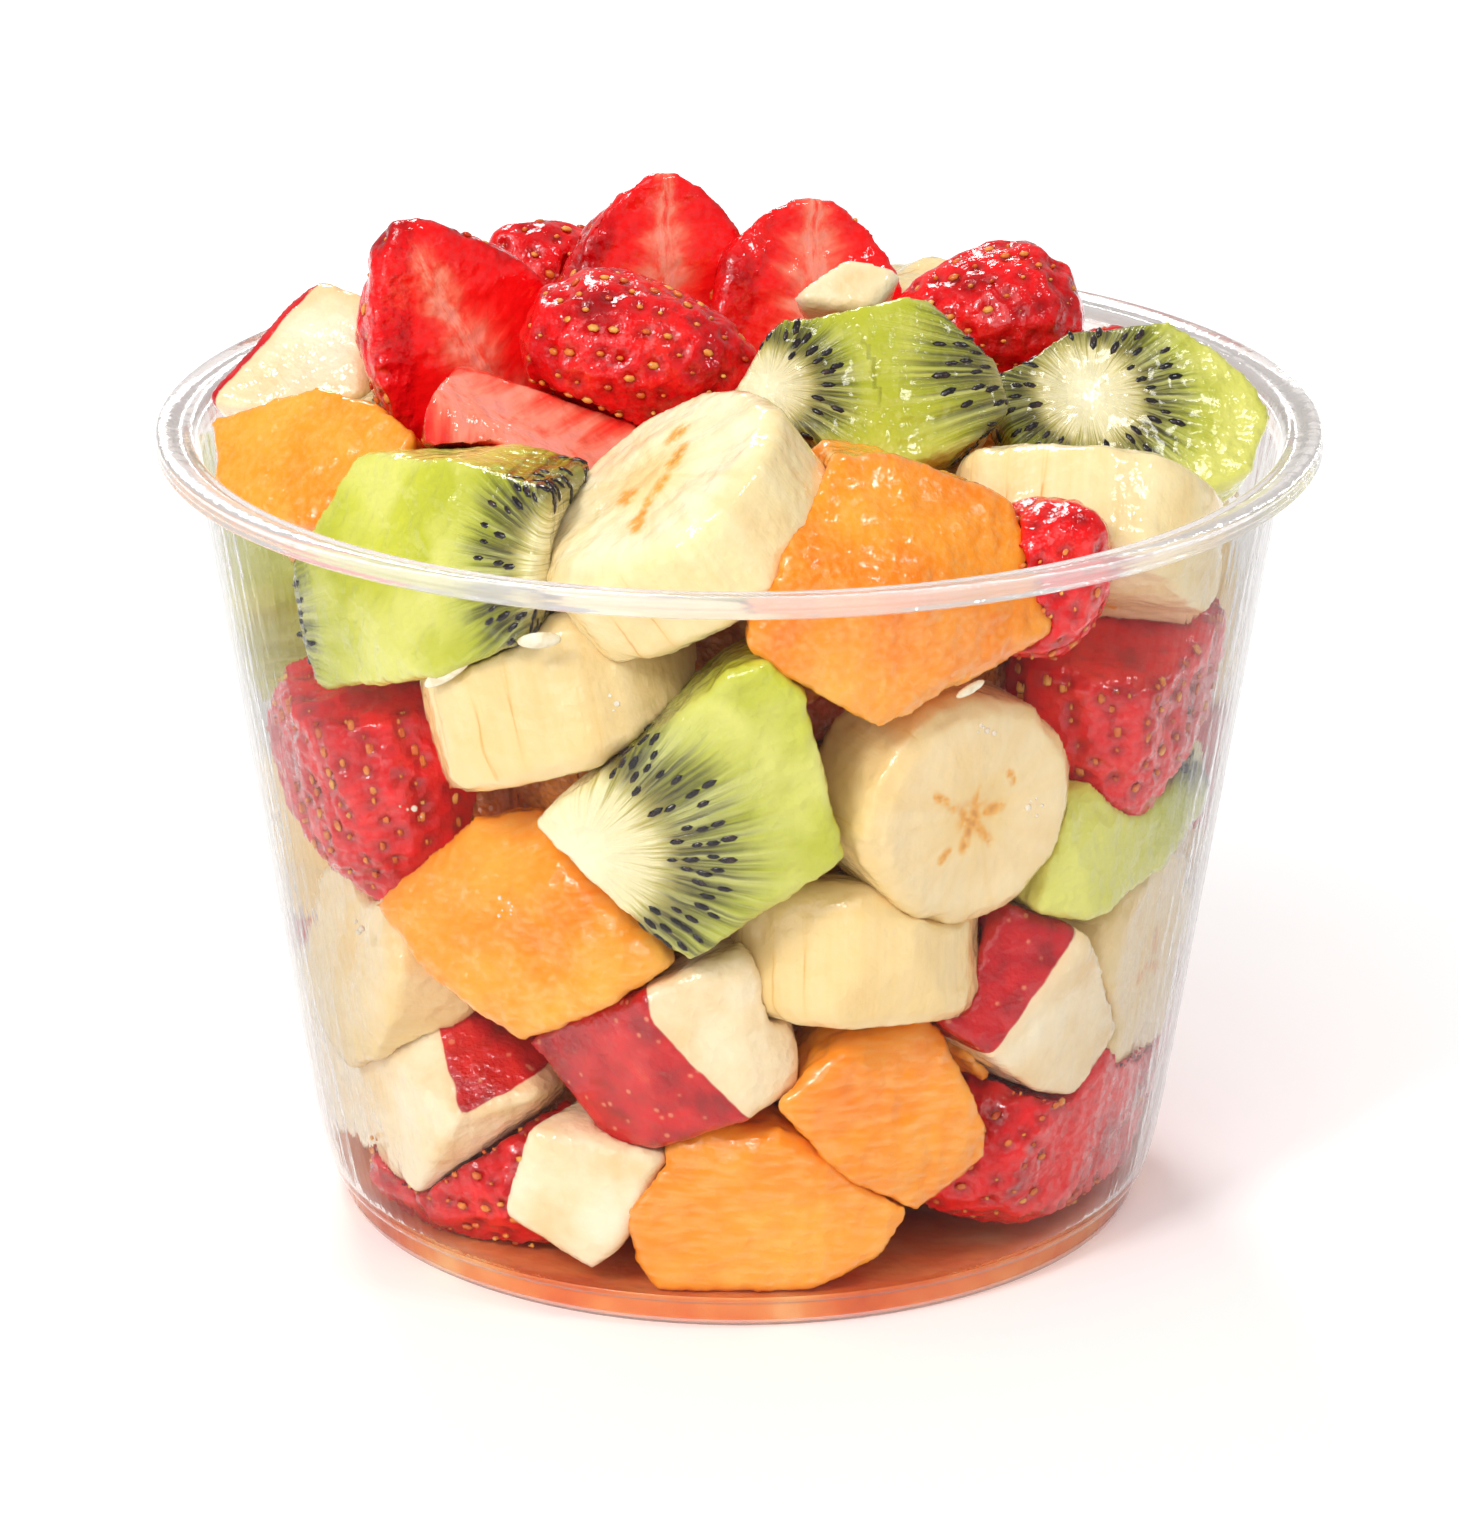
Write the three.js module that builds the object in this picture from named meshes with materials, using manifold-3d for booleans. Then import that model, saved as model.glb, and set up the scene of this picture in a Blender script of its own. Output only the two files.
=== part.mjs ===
// A fruit cup: a clear thin-walled plastic cup with a rolled lip and a stepped foot, filled and
// heaped with cut strawberries, kiwi, bananas, orange melon and apple over a little pooled juice.
// Millimetres, +Z up, origin on the cup's axis at the table. The front of the heap faces -Y.

import * as THREE from 'three'
import { ConvexGeometry } from 'three/addons/geometries/ConvexGeometry.js'
import { mergeVertices } from 'three/addons/utils/BufferGeometryUtils.js'
import Module from 'manifold-3d'

// Driving dimensions of the cup
const LIP_RADIUS = 58.5
const CUP_HEIGHT = 81.6
const LIP_THICKNESS = 1.8
const WALL = 0.7
const WALL_FOOT_RADIUS = 44.3 // outer radius where the straight wall starts
const WALL_FOOT_HEIGHT = 12
const WALL_SLOPE = 0.155 // outward run of the wall for each millimetre of rise
const STEP_RADIUS = 42 // where the rounded corner meets the foot
const STEP_HEIGHT = 3.1
const FOOT_RADIUS = 41.2
const FOOT_INNER_RADIUS = 37
const FLOOR_HEIGHT = 1.5 // underside of the floor inside the foot ring
const CUP_SEGMENTS = 36

// Contents
const JUICE_LEVEL = 3.3
const CONTENTS_FLOOR = JUICE_LEVEL + 0.3
const GAP = 0.3 // clearance between neighbouring solids
const HEAP_TOP = 112
const CORNER_RADIUS = 0.9 // rounding of cut chunks
const CORE_DEPTH = 21 // how far the inner mass stays behind the wall
const CORE_GAP = 2.6 // clearance of the coarse hollows that it leaves for the pieces
// How finely a piece is drawn: in front, at the back, and as a hollow cut into the core
const FINE = { segments: 12, berryRows: 6, sliceEdge: true }
const LIGHT = { segments: 10, berryRows: 5, sliceEdge: true }
const COARSE = { segments: 8, berryRows: 4, sliceEdge: false }

const RIM_HEIGHT = CUP_HEIGHT - LIP_THICKNESS
const degrees = THREE.MathUtils.degToRad

const wasm = await Module()
wasm.setup()

// The cup's wall

function outerRadius(height) {
  if (height >= WALL_FOOT_HEIGHT) {
    return WALL_FOOT_RADIUS + WALL_SLOPE * (height - WALL_FOOT_HEIGHT)
  }
  const fall = (WALL_FOOT_HEIGHT - height) / (WALL_FOOT_HEIGHT - STEP_HEIGHT)
  const straight = WALL_FOOT_RADIUS - WALL_SLOPE * (WALL_FOOT_HEIGHT - height)
  const drop = straight - STEP_RADIUS
  return straight - Math.max(drop, 0) * fall * fall
}

function innerRadius(height) {
  return outerRadius(height) - WALL
}

function wallProfile(offset, steps) {
  const heights = [...steps, WALL_FOOT_HEIGHT, RIM_HEIGHT - 0.8]
  return heights.map((height) => new THREE.Vector2(outerRadius(height) - offset, height))
}

// Solids as manifolds

function solidOf(geometry) {
  const bare = new THREE.BufferGeometry()
  bare.setAttribute('position', geometry.getAttribute('position'))
  bare.setIndex(geometry.index)
  const merged = mergeVertices(bare, 1e-4)
  const vertProperties = new Float32Array(merged.getAttribute('position').array)
  const triVerts = new Uint32Array(merged.index.array)
  return new wasm.Manifold(new wasm.Mesh({ numProp: 3, vertProperties, triVerts }))
}

// A profile of [radius, height] points, from the axis round and back to it, turned about +Z.
function turned(points, segments) {
  const geometry = new THREE.LatheGeometry(points, segments)
  geometry.rotateX(Math.PI / 2)
  return geometry
}

function largestBody(solid) {
  const bodies = solid.decompose()
  return bodies.reduce((best, body) => (body.volume() > best.volume() ? body : best))
}

// Directions and places. Azimuth 0 is the front, 90 the right side, 180 the back.

function heading(azimuth, elevation) {
  const a = degrees(azimuth)
  const e = degrees(elevation)
  return new THREE.Vector3(
    Math.sin(a) * Math.cos(e),
    -Math.cos(a) * Math.cos(e),
    Math.sin(e),
  )
}

// Maps (along the wall, up, inward) to a place against the inside of the cup's wall.
function againstWall(azimuth, height) {
  const reach = innerRadius(height) - GAP
  return (along, up, inward) => {
    const radius = innerRadius(height + up) - GAP - inward
    const turn = degrees(azimuth) + along / reach
    return new THREE.Vector3(radius * Math.sin(turn), -radius * Math.cos(turn), height + up)
  }
}

// Maps (right, up, inward) to a place in a free plane that faces the given direction.
function facing(x, y, z, azimuth, elevation) {
  const normal = heading(azimuth, elevation)
  const right = heading(azimuth + 90, 0)
  const up = normal.clone().cross(right)
  return (across, rise, inward) =>
    new THREE.Vector3(x, y, z)
      .addScaledVector(right, across)
      .addScaledVector(up, rise)
      .addScaledVector(normal, -inward)
}

// A cut chunk: the hull of small rounded corners. The front corners are [across, up, inward];
// the back ones repeat them at the chunk's depth, drawn in by its taper.
function chunk(place, corners, depth, taper) {
  const middle = corners.reduce((sum, c) => [sum[0] + c[0], sum[1] + c[1]], [0, 0])
  const centre = middle.map((total) => total / corners.length)
  const shrunk = (value, axis) => centre[axis] + (value - centre[axis]) * taper
  const front = corners.map(([across, up, inward = 0]) => place(across, up, inward))
  const back = corners.map(([across, up, inward = 0]) => {
    return place(shrunk(across, 0), shrunk(up, 1), Math.max(depth, inward + 4))
  })
  const all = [...front, ...back]
  const heart = new THREE.Vector3()
  all.forEach((corner) => heart.addScaledVector(corner, 1 / all.length))
  const outward = (corner, distance) => {
    return corner.clone().sub(heart).setLength(Math.abs(distance))
      .multiplyScalar(Math.sign(distance)).add(corner)
  }
  return (swell, detail = FINE) => {
    if (detail === COARSE) {
      return solidOf(new ConvexGeometry(all.map((corner) => outward(corner, swell))))
    }
    const radius = CORNER_RADIUS + 1.5 * swell
    const points = []
    for (const corner of all) {
      const inset = outward(corner, -CORNER_RADIUS)
      for (const axis of ['x', 'y', 'z']) {
        for (const side of [-1, 1]) {
          const point = inset.clone()
          point[axis] += side * radius
          points.push(point)
        }
      }
    }
    return solidOf(new ConvexGeometry(points))
  }
}

// A banana slice: a thick round disc with softened edges, slightly flattened and five-sided.
function slice(centre, axis, radius, thickness) {
  const turn = new THREE.Quaternion().setFromUnitVectors(new THREE.Vector3(0, 0, 1), axis)
  return (swell, detail = FINE) => {
    const r = radius + swell
    const h = thickness / 2 + swell
    const softened = [[0, -h], [r * 0.92, -h], [r, -h * 0.7], [r, h * 0.7], [r * 0.92, h], [0, h]]
    const sharp = [[0, -h], [r, -h], [r, h], [0, h]]
    const profile = detail.sliceEdge ? softened : sharp
    const points = profile.map(([x, y]) => new THREE.Vector2(x, y))
    const geometry = turned(points, detail.segments)
    const position = geometry.getAttribute('position')
    for (let i = 0; i < position.count; i += 1) {
      const angle = Math.atan2(position.getY(i), position.getX(i))
      const sides = 1 + 0.025 * Math.cos(5 * angle)
      position.setXY(i, position.getX(i) * sides, position.getY(i) * sides * 0.96)
    }
    geometry.applyQuaternion(turn)
    geometry.translate(centre.x, centre.y, centre.z)
    return solidOf(geometry)
  }
}

// A strawberry: a turned body, blunt at the shoulder and drawn in to the tip, and trimmed by
// any cuts. A cut is [azimuth it faces, elevation it faces, distance from the middle].
function berry(centre, tip, radius, length, cuts = []) {
  const turn = new THREE.Quaternion().setFromUnitVectors(new THREE.Vector3(0, 0, 1), tip)
  const widest = 0.36 // share of the length from the shoulder to the widest place
  return (swell, detail = FINE) => {
    const rows = detail.berryRows
    const points = []
    for (let row = 0; row <= rows; row += 1) {
      const along = 0.5 - 0.5 * Math.cos((Math.PI * row) / rows)
      const short = along < widest
      const away = short ? (widest - along) / widest : (along - widest) / (1 - widest)
      const fullness = short ? Math.sqrt(1 - away ** 2.4) : (1 - away ** 1.9) ** 0.75
      const ends = row === 0 || row === rows
      const across = ends ? 0 : (radius + swell) * fullness
      points.push(new THREE.Vector2(across, (along - 0.5) * (length + 2 * swell)))
    }
    const geometry = turned(points, detail.segments)
    geometry.applyQuaternion(turn)
    geometry.translate(centre.x, centre.y, centre.z)
    let solid = solidOf(geometry)
    for (const [azimuth, elevation, distance] of cuts) {
      const inward = heading(azimuth, elevation).negate()
      const offset = inward.dot(centre) - distance - swell
      solid = solid.trimByPlane(inward.toArray(), offset)
    }
    return solid
  }
}

const at = (x, y, z) => new THREE.Vector3(x, y, z)

// The pieces. Each is named for its fruit and place; a piece gives way to those before it.

const STRAWBERRY = { color: 0xe01e24, roughness: 0.3 }
const KIWI = { color: 0xa8c03a, roughness: 0.35 }
const BANANA = { color: 0xf6e3b0, roughness: 0.45 }
const MELON = { color: 0xfba03c, roughness: 0.4 }
const APPLE = { color: 0xf8e2bc, roughness: 0.4 }
const pieces = []

function add(name, look, make) {
  pieces.push({ name, look, make })
}

// Against the front of the wall, from the top row down
add('banana_top_front', BANANA, slice(at(-5, -40, 83), heading(-71, 54), 13.6, 11.5))
add('kiwi_front', KIWI, chunk(
  againstWall(-6, 57),
  [[-15, -2.5], [4.5, 15], [8, 16], [10.5, 13.5], [15, -5], [0, -16], [-9, -8]],
  15, 0.85,
))
add('melon_right', MELON, chunk(
  againstWall(18, 78),
  [[-16, -3.5, 1], [-7, -9.5], [-3, -12], [4, -7], [15.5, -5, 1], [14.5, 7, 8], [3, 11, 12],
    [-5, 12, 12], [-13, 5, 3], [-1, 2]],
  22, 0.9,
))
add('kiwi_left', KIWI, chunk(
  againstWall(-41, 75),
  [[-12, -12, 1], [7, -6], [16.5, -1, 1], [17, 12, 8], [4, 12.5, 10], [-13, 10, 9],
    [-17, -1, 3], [-17, -9, 2]],
  21, 0.9,
))
add('banana_front', BANANA, slice(at(19.3, -36.8, 54.7), heading(34, -4), 12.1, 12))
add('banana_left_side', BANANA, slice(at(-16, -33.5, 64), heading(-145, 68), 14, 15))
add('strawberry_left', STRAWBERRY, berry(at(-34.5, -20, 50.5), heading(50, -72), 12, 30, [
  [-20, 75, 11],
]))
add('strawberry_right', STRAWBERRY, berry(at(35.5, -21, 60), heading(10, -70), 13, 28, [
  [10, 62, 8],
]))
add('melon_front_left', MELON, chunk(
  againstWall(-29, 41),
  [[-17.5, -0.5, 1], [-8, 9.5, 7], [0, 11, 9], [5, 8, 5], [17, -1, 2], [11.5, -4.5],
    [1, -10.5], [-8, -6.5]],
  21, 0.85,
))
add('kiwi_right', KIWI, chunk(
  againstWall(56, 46),
  [[-14, -4, 2], [-12, 7, 3], [10, 8, 1], [14, 0], [5, -4], [-8, -6]],
  17, 0.9,
))
add('banana_low_front', BANANA, slice(at(11, -34, 39), heading(176, 82), 12.2, 14))
add('apple_right', APPLE, chunk(
  againstWall(46, 29),
  [[0.3, 9.3], [-11, -0.5], [7.7, -3.7], [2, -8.8], [-7, 13, 5], [-15.5, 3, 3],
    [-3.5, -6.8]],
  19, 0.9,
))
add('apple_left', APPLE, chunk(
  againstWall(-56, 19),
  [[13.5, 1], [-9.5, 8.5, 1.5], [-20.5, -1, 0.5], [-18, -10, 0.3], [5.5, -10], [20, 3, 6],
    [3, 10.5, 7]],
  21, 0.85,
))
add('apple_front', APPLE, chunk(
  againstWall(-12, 29),
  [[-15.5, -1.5, 6], [0, 8, 1], [1.5, 5], [10.5, -5], [0, -10, 3], [-6, -10.5, 5],
    [10, 11.5, 4], [15.5, 1.5, 4], [15.5, -3, 3]],
  20, 0.9,
))
add('melon_low_right', MELON, chunk(
  againstWall(19, 22),
  [[-11, 3, 1], [-4.5, 8, 3], [5.5, 9.5, 4], [11, -2.5], [11.5, -5.5], [4, -10], [-4, -5]],
  18, 0.9,
))
add('apple_peeled', APPLE, chunk(
  againstWall(-22, 13),
  [[-4.5, 7, 1], [-3, 7.5, 5], [8.5, 5, 3], [3.5, -5], [1, -7.5], [-8, -3]],
  16, 0.95,
))
add('melon_bottom', MELON, chunk(
  againstWall(4, 12),
  [[-14.5, 0.5, 1], [-13, 5, 3], [-7, 9, 4], [1, 9.5, 2], [14, 0.5], [12, -4.5], [4, -8],
    [-12, -8]],
  20, 0.85,
))
add('banana_far_right', BANANA, slice(at(36, -16.5, 31), heading(64, -6), 12, 11))
add('banana_far_left', BANANA, slice(at(-34, -19, 31.5), heading(-66, 12), 11.5, 11))
add('strawberry_low_left', STRAWBERRY, berry(at(-23, -21, 10.5), heading(38, -4), 11.5, 34))
add('strawberry_low_right', STRAWBERRY, berry(at(28, -22, 16), heading(-46, -18), 13, 33))
add('melon_sliver', MELON, chunk(
  againstWall(41, 23), [[-7, 5, 5], [8, -3.5, 5], [0.5, -5, 5]], 14, 0.9,
))
add('strawberry_rim_right', STRAWBERRY, berry(at(28.6, -36.5, 76.9), heading(60, 50), 7.5, 18))

// On the heap, seen from the front
add('strawberry_wedge', STRAWBERRY, berry(at(-17.6, -23, 84.3), heading(72, -8), 11.5, 27, [
  [35, 52, 0.4], [133.6, 65.7, 5.5],
]))
add('strawberry_whole_centre', STRAWBERRY, berry(at(-9, -12, 91), heading(80, -8), 7.8, 26))
add('kiwi_top_centre', KIWI, chunk(
  facing(14, -16, 95, 10, 40),
  [[-16, -6.5], [-10.5, 1], [1, 3.5], [5, 3], [11, -4], [11, -9], [6, -13], [0, -14.5],
    [-7, -12]],
  13, 0.9,
))
add('kiwi_top_right', KIWI, chunk(
  facing(41, -5, 89, 20, 42),
  [[-17, -0.5], [-8.5, 3.5], [3, 3.5], [9.5, -3.5], [10.5, -8], [7, -13.5], [2.5, -15],
    [-17, -8]],
  11, 0.95,
))
add('banana_top_right', BANANA, slice(at(33.5, -23, 75.6), heading(172, 50), 13, 12))
add('strawberry_half_left', STRAWBERRY, berry(at(-28, -8, 92.2), heading(-70, 62), 10.5, 27, [
  [28, 8, 2],
]))
add('strawberry_half_centre', STRAWBERRY, berry(at(-8, 8, 91), heading(30, 76), 11, 31, [
  [18, 12, 2],
]))
add('strawberry_half_right', STRAWBERRY, berry(at(6.8, 9, 90), heading(40, 70), 10.7, 29, [
  [20, 22, 2],
]))
add('strawberry_whole_right', STRAWBERRY, berry(at(24.7, 9, 88.7), heading(-82, -4), 7.7, 21))
add('strawberry_back_left', STRAWBERRY, berry(at(-18.5, 17, 90.5), heading(-60, 40), 6.8, 19))
add('apple_top_left', APPLE, chunk(
  facing(-44, 2, 88.5, -15, 40),
  [[1, 6.5], [-1.5, 4], [-8, -7], [1, -8], [7.5, -5], [6, 5]],
  13, 0.95,
))
add('melon_top_left', MELON, chunk(
  facing(-43, -17, 83, -35, 40),
  [[-11.5, 1], [-3, 3.5], [-1, 7], [6.5, 6], [12, 4], [12, 0], [6, -7], [-5.5, -8]],
  16, 0.9,
))
add('apple_sliver', APPLE, chunk(
  facing(10.5, -5, 97, 0, 40), [[-5, -2], [0, 2], [5, 0.5], [2.5, -3]], 6, 0.9,
))

// Round the sides and back, and over the back of the heap

const BACK_RINGS = [
  { height: 16, size: 27 },
  { height: 40, size: 30 },
  { height: 65, size: 31 },
]
const BACK_FRUITS = ['strawberry', 'melon', 'kiwi', 'banana', 'apple']
const BACK_STEP = 40 // degrees between the pieces of a ring
const CAP_RADIUS = 36 // distance of the heap's back pieces from the axis
const CAP_HEIGHT = 73.5
const CAP_SIZE = 25

// A repeatable number from 0 to 1 for each seed.
function chance(seed) {
  const wave = Math.sin(seed * 127.1 + 311.7) * 43758.5453
  return wave - Math.floor(wave)
}

// Corners of an uneven five-sided face about size across.
function unevenFace(size, seed) {
  const corners = []
  for (let i = 0; i < 5; i += 1) {
    const angle = degrees(72 * i + 34 * chance(seed + i))
    const reach = size * (0.5 + 0.1 * chance(seed + i + 20))
    corners.push([Math.cos(angle) * reach, Math.sin(angle) * reach * 0.9])
  }
  return corners
}

function fruitPiece(kind, azimuth, centre, size, place, seed) {
  const tilt = 40 * (chance(seed) - 0.5)
  if (kind === 'strawberry') {
    return [STRAWBERRY, berry(centre, heading(azimuth + 90, tilt - 30), size * 0.47, size * 1.2)]
  }
  if (kind === 'banana') {
    return [BANANA, slice(centre, heading(azimuth + tilt, tilt / 2), size * 0.5, size * 0.5)]
  }
  const looks = { kiwi: KIWI, melon: MELON, apple: APPLE }
  return [looks[kind], chunk(place, unevenFace(size * 1.02, seed), size * 0.7, 0.85)]
}

function lighter(make) {
  return (swell, detail = LIGHT) => make(swell, detail)
}

BACK_RINGS.forEach(({ height, size }, ring) => {
  for (let step = -2; step <= 2; step += 1) {
    const kind = BACK_FRUITS[(step + 2 + 4 * ring) % BACK_FRUITS.length]
    const seed = 10 * ring + step + 7
    const azimuth = 180 + step * BACK_STEP + 8 * (chance(seed) - 0.5)
    const rise = height + 5 * (chance(seed + 3) - 0.5)
    const centre = heading(azimuth, 0).multiplyScalar(innerRadius(rise) - size * 0.36)
    centre.z = rise
    const place = againstWall(azimuth, rise)
    const [look, make] = fruitPiece(kind, azimuth, centre, size, place, seed)
    add(`${kind}_back_${ring + 1}${step + 3}`, look, lighter(make))
  }
})

for (let step = 0; step < 5; step += 1) {
  const kind = BACK_FRUITS[(3 * step) % BACK_FRUITS.length]
  const seed = 50 + step
  const azimuth = 108 + step * BACK_STEP + 8 * (chance(seed) - 0.5)
  const centre = heading(azimuth, 0).multiplyScalar(CAP_RADIUS)
  centre.z = CAP_HEIGHT + 2 * chance(seed + 3)
  const out = heading(azimuth, 0).multiplyScalar(4).add(centre)
  const place = facing(out.x, out.y, out.z + 8, azimuth, 62)
  const [look, make] = fruitPiece(kind, azimuth, centre, CAP_SIZE, place, seed)
  add(`${kind}_back_top_${step + 1}`, look, lighter(make))
}

// The cup: one turned shell, open at the top

function cupGeometry() {
  const point = (radius, height) => new THREE.Vector2(radius, height)
  const lipEnd = LIP_RADIUS - 0.6
  const wallTop = outerRadius(RIM_HEIGHT)
  return turned([
    point(0, FLOOR_HEIGHT),
    point(FOOT_INNER_RADIUS - 0.7, FLOOR_HEIGHT),
    point(FOOT_INNER_RADIUS, 0),
    point(FOOT_RADIUS - 0.8, 0),
    point(FOOT_RADIUS, 0.6),
    point(FOOT_RADIUS + 0.2, STEP_HEIGHT - 0.5),
    ...wallProfile(0, [STEP_HEIGHT, 7]),
    point(lipEnd, RIM_HEIGHT),
    point(LIP_RADIUS, RIM_HEIGHT + 0.6),
    point(LIP_RADIUS, CUP_HEIGHT - 0.6),
    point(lipEnd, CUP_HEIGHT),
    point(LIP_RADIUS - 1.6, CUP_HEIGHT - 0.2),
    point(wallTop + 0.2, CUP_HEIGHT - 0.4),
    point(wallTop - 0.5, RIM_HEIGHT + 0.2),
    ...wallProfile(WALL, [STEP_HEIGHT + 0.4, 7]).slice(0, -1).reverse(),
    point(FOOT_RADIUS - 0.6, STEP_HEIGHT - 0.4),
    point(FOOT_RADIUS - 1.1, WALL),
    point(FOOT_INNER_RADIUS + 0.6, WALL),
    point(FOOT_INNER_RADIUS - 0.3, FLOOR_HEIGHT + WALL),
    point(0, FLOOR_HEIGHT + WALL),
  ], CUP_SEGMENTS)
}

// The pooled juice, which also fills the channel inside the foot ring
function juiceGeometry() {
  const floor = FLOOR_HEIGHT + WALL + GAP
  return turned([
    new THREE.Vector2(0, floor),
    new THREE.Vector2(FOOT_INNER_RADIUS, floor),
    new THREE.Vector2(FOOT_INNER_RADIUS + 1, WALL + GAP),
    new THREE.Vector2(FOOT_RADIUS - 1.4, WALL + GAP),
    new THREE.Vector2(FOOT_RADIUS - 0.9, JUICE_LEVEL),
    new THREE.Vector2(0, JUICE_LEVEL),
  ], CUP_SEGMENTS)
}

// The room that the pieces may fill: inside the wall, and straight on up past the lip
function roomSolid() {
  const heights = [CONTENTS_FLOOR, 5, 8, WALL_FOOT_HEIGHT, HEAP_TOP]
  const side = heights.map((z) => new THREE.Vector2(innerRadius(z) - GAP, z))
  const floor = new THREE.Vector2(0, CONTENTS_FLOOR)
  return solidOf(turned([floor, ...side, new THREE.Vector2(0, HEAP_TOP)], CUP_SEGMENTS))
}

// The mass of fruit inside, which carries the pieces: it follows the wall and ends in a dome
function coreSolid() {
  const dome = [[31, 72], [28, 80], [16, 85], [0, 86]]
  const side = [CONTENTS_FLOOR, WALL_FOOT_HEIGHT].map((z) => [innerRadius(z) - CORE_DEPTH, z])
  const profile = [[0, CONTENTS_FLOOR], ...side, ...dome]
  return solidOf(turned(profile.map(([x, y]) => new THREE.Vector2(x, y)), 12))
}

// Cutting and assembly

function meshOf(name, geometry, { color, roughness, metalness = 0, opacity = 1 }) {
  const transparent = opacity < 1
  const look = { color, roughness, metalness, opacity, transparent, flatShading: true }
  const mesh = new THREE.Mesh(geometry, new THREE.MeshStandardMaterial(look))
  mesh.name = name
  return mesh
}

function geometryOf(solid) {
  const { vertProperties, triVerts } = solid.getMesh()
  const geometry = new THREE.BufferGeometry()
  geometry.setAttribute('position', new THREE.BufferAttribute(vertProperties, 3))
  geometry.setIndex(new THREE.BufferAttribute(triVerts, 1))
  geometry.computeVertexNormals()
  return geometry
}

function boxesMeet(first, second) {
  const a = first.boundingBox()
  const b = second.boundingBox()
  return [0, 1, 2].every((i) => a.min[i] < b.max[i] && b.min[i] < a.max[i])
}

function buildFruitCup() {
  const group = new THREE.Group()
  group.name = 'fruit_cup'
  const clear = { color: 0xf4f6f7, roughness: 0.08, opacity: 0.3 }
  group.add(meshOf('cup', cupGeometry(), clear))
  group.add(meshOf('juice', juiceGeometry(), { color: 0xd87f62, roughness: 0.1, opacity: 0.8 }))
  const room = roomSolid()
  const settle = (solid, before) => {
    let rest = solid.intersect(room)
    for (const earlier of before) {
      if (boxesMeet(rest, earlier)) {
        rest = rest.subtract(earlier)
      }
    }
    return largestBody(rest)
  }
  const placed = []
  for (const { name, look, make } of pieces) {
    const body = settle(make(0), placed)
    placed.push(make(GAP))
    group.add(meshOf(name, geometryOf(body), look))
  }
  const core = settle(coreSolid(), pieces.map(({ make }) => make(CORE_GAP, COARSE)))
  group.add(meshOf('fruit_core', geometryOf(core), { color: 0xc8682a, roughness: 0.5 }))
  return group
}

export default buildFruitCup()
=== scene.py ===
import math

import bmesh
import bpy
import numpy as np
from mathutils import Matrix, Vector
from mathutils.bvhtree import BVHTree


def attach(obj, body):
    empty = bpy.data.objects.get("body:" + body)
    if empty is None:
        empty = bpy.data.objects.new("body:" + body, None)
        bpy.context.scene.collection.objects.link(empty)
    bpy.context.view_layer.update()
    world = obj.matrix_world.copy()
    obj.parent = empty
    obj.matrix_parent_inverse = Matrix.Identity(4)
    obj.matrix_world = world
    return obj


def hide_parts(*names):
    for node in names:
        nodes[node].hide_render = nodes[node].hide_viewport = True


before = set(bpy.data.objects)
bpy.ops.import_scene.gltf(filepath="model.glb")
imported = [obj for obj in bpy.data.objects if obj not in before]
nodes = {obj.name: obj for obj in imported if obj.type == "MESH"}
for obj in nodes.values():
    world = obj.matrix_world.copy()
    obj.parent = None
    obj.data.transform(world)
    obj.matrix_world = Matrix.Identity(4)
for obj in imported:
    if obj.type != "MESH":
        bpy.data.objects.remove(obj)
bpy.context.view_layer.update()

# ---- The cup ----
# A deep cup drawn from one sheet of clear plastic: a thin tapering wall, a lip rolled outwards
# with fine beads round it, and a foot ring pressed in below a small step.
MM = 0.001
WALL = 0.7
WALL_SLOPE = 0.155  # how much the wall's radius grows with each millimetre of height
STEP_RADIUS, STEP_HEIGHT = 44.3, 12  # where the straight wall starts, above the foot's step
LIP_FOOT = 78.7  # height where the wall runs out into the lip
RING_TOP = 1.0  # below this the foot ring is thick and cloudy
CUP_TURNS = 128


def outer_radius(height):
    """The wall's outer radius in millimetres."""
    return STEP_RADIUS + WALL_SLOPE * (height - STEP_HEIGHT)


cup_section = [
    (0, 1.5), (20, 1.5), (35.9, 1.5), (36.4, 1.2), (36.9, 0.3), (37.2, 0), (38.5, 0),
    (40.4, 0), (41.0, 0.25), (41.2, 0.8), (41.3, 2.4), (41.5, 2.9), (42.2, 3.1),
    (42.6, 3.9), (43.2, 6), (43.8, 9), (STEP_RADIUS, STEP_HEIGHT),
    (outer_radius(30), 30), (outer_radius(55), 55), (outer_radius(76), 76),
    (outer_radius(78.6), 78.6),
    (54.9, 79.5), (55.8, 79.7), (57.2, 79.4), (58.1, 79.3), (58.45, 79.6), (58.2, 80.0),
    (58.45, 80.3), (58.2, 80.65), (58.35, 81.0), (58.0, 81.4), (57.4, 81.6), (56.7, 81.45),
    (56.2, 81.1), (55.6, 81.05), (55.1, 81.2), (54.6, 81.0), (54.25, 80.2),
    (outer_radius(78) - WALL, 78), (outer_radius(76) - WALL, 76),
    (outer_radius(55) - WALL, 55), (outer_radius(30) - WALL, 30), (43.6, 12), (43.1, 9),
    (42.5, 6), (41.9, 4.2), (41.3, 3.6), (40.7, 2.9), (40.5, 1.2), (40.1, 0.7), (38.5, 0.7),
    (37.7, 0.75), (37.4, 1.2), (36.9, 2.0), (36.3, 2.2), (20, 2.2), (0, 2.2),
]


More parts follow.
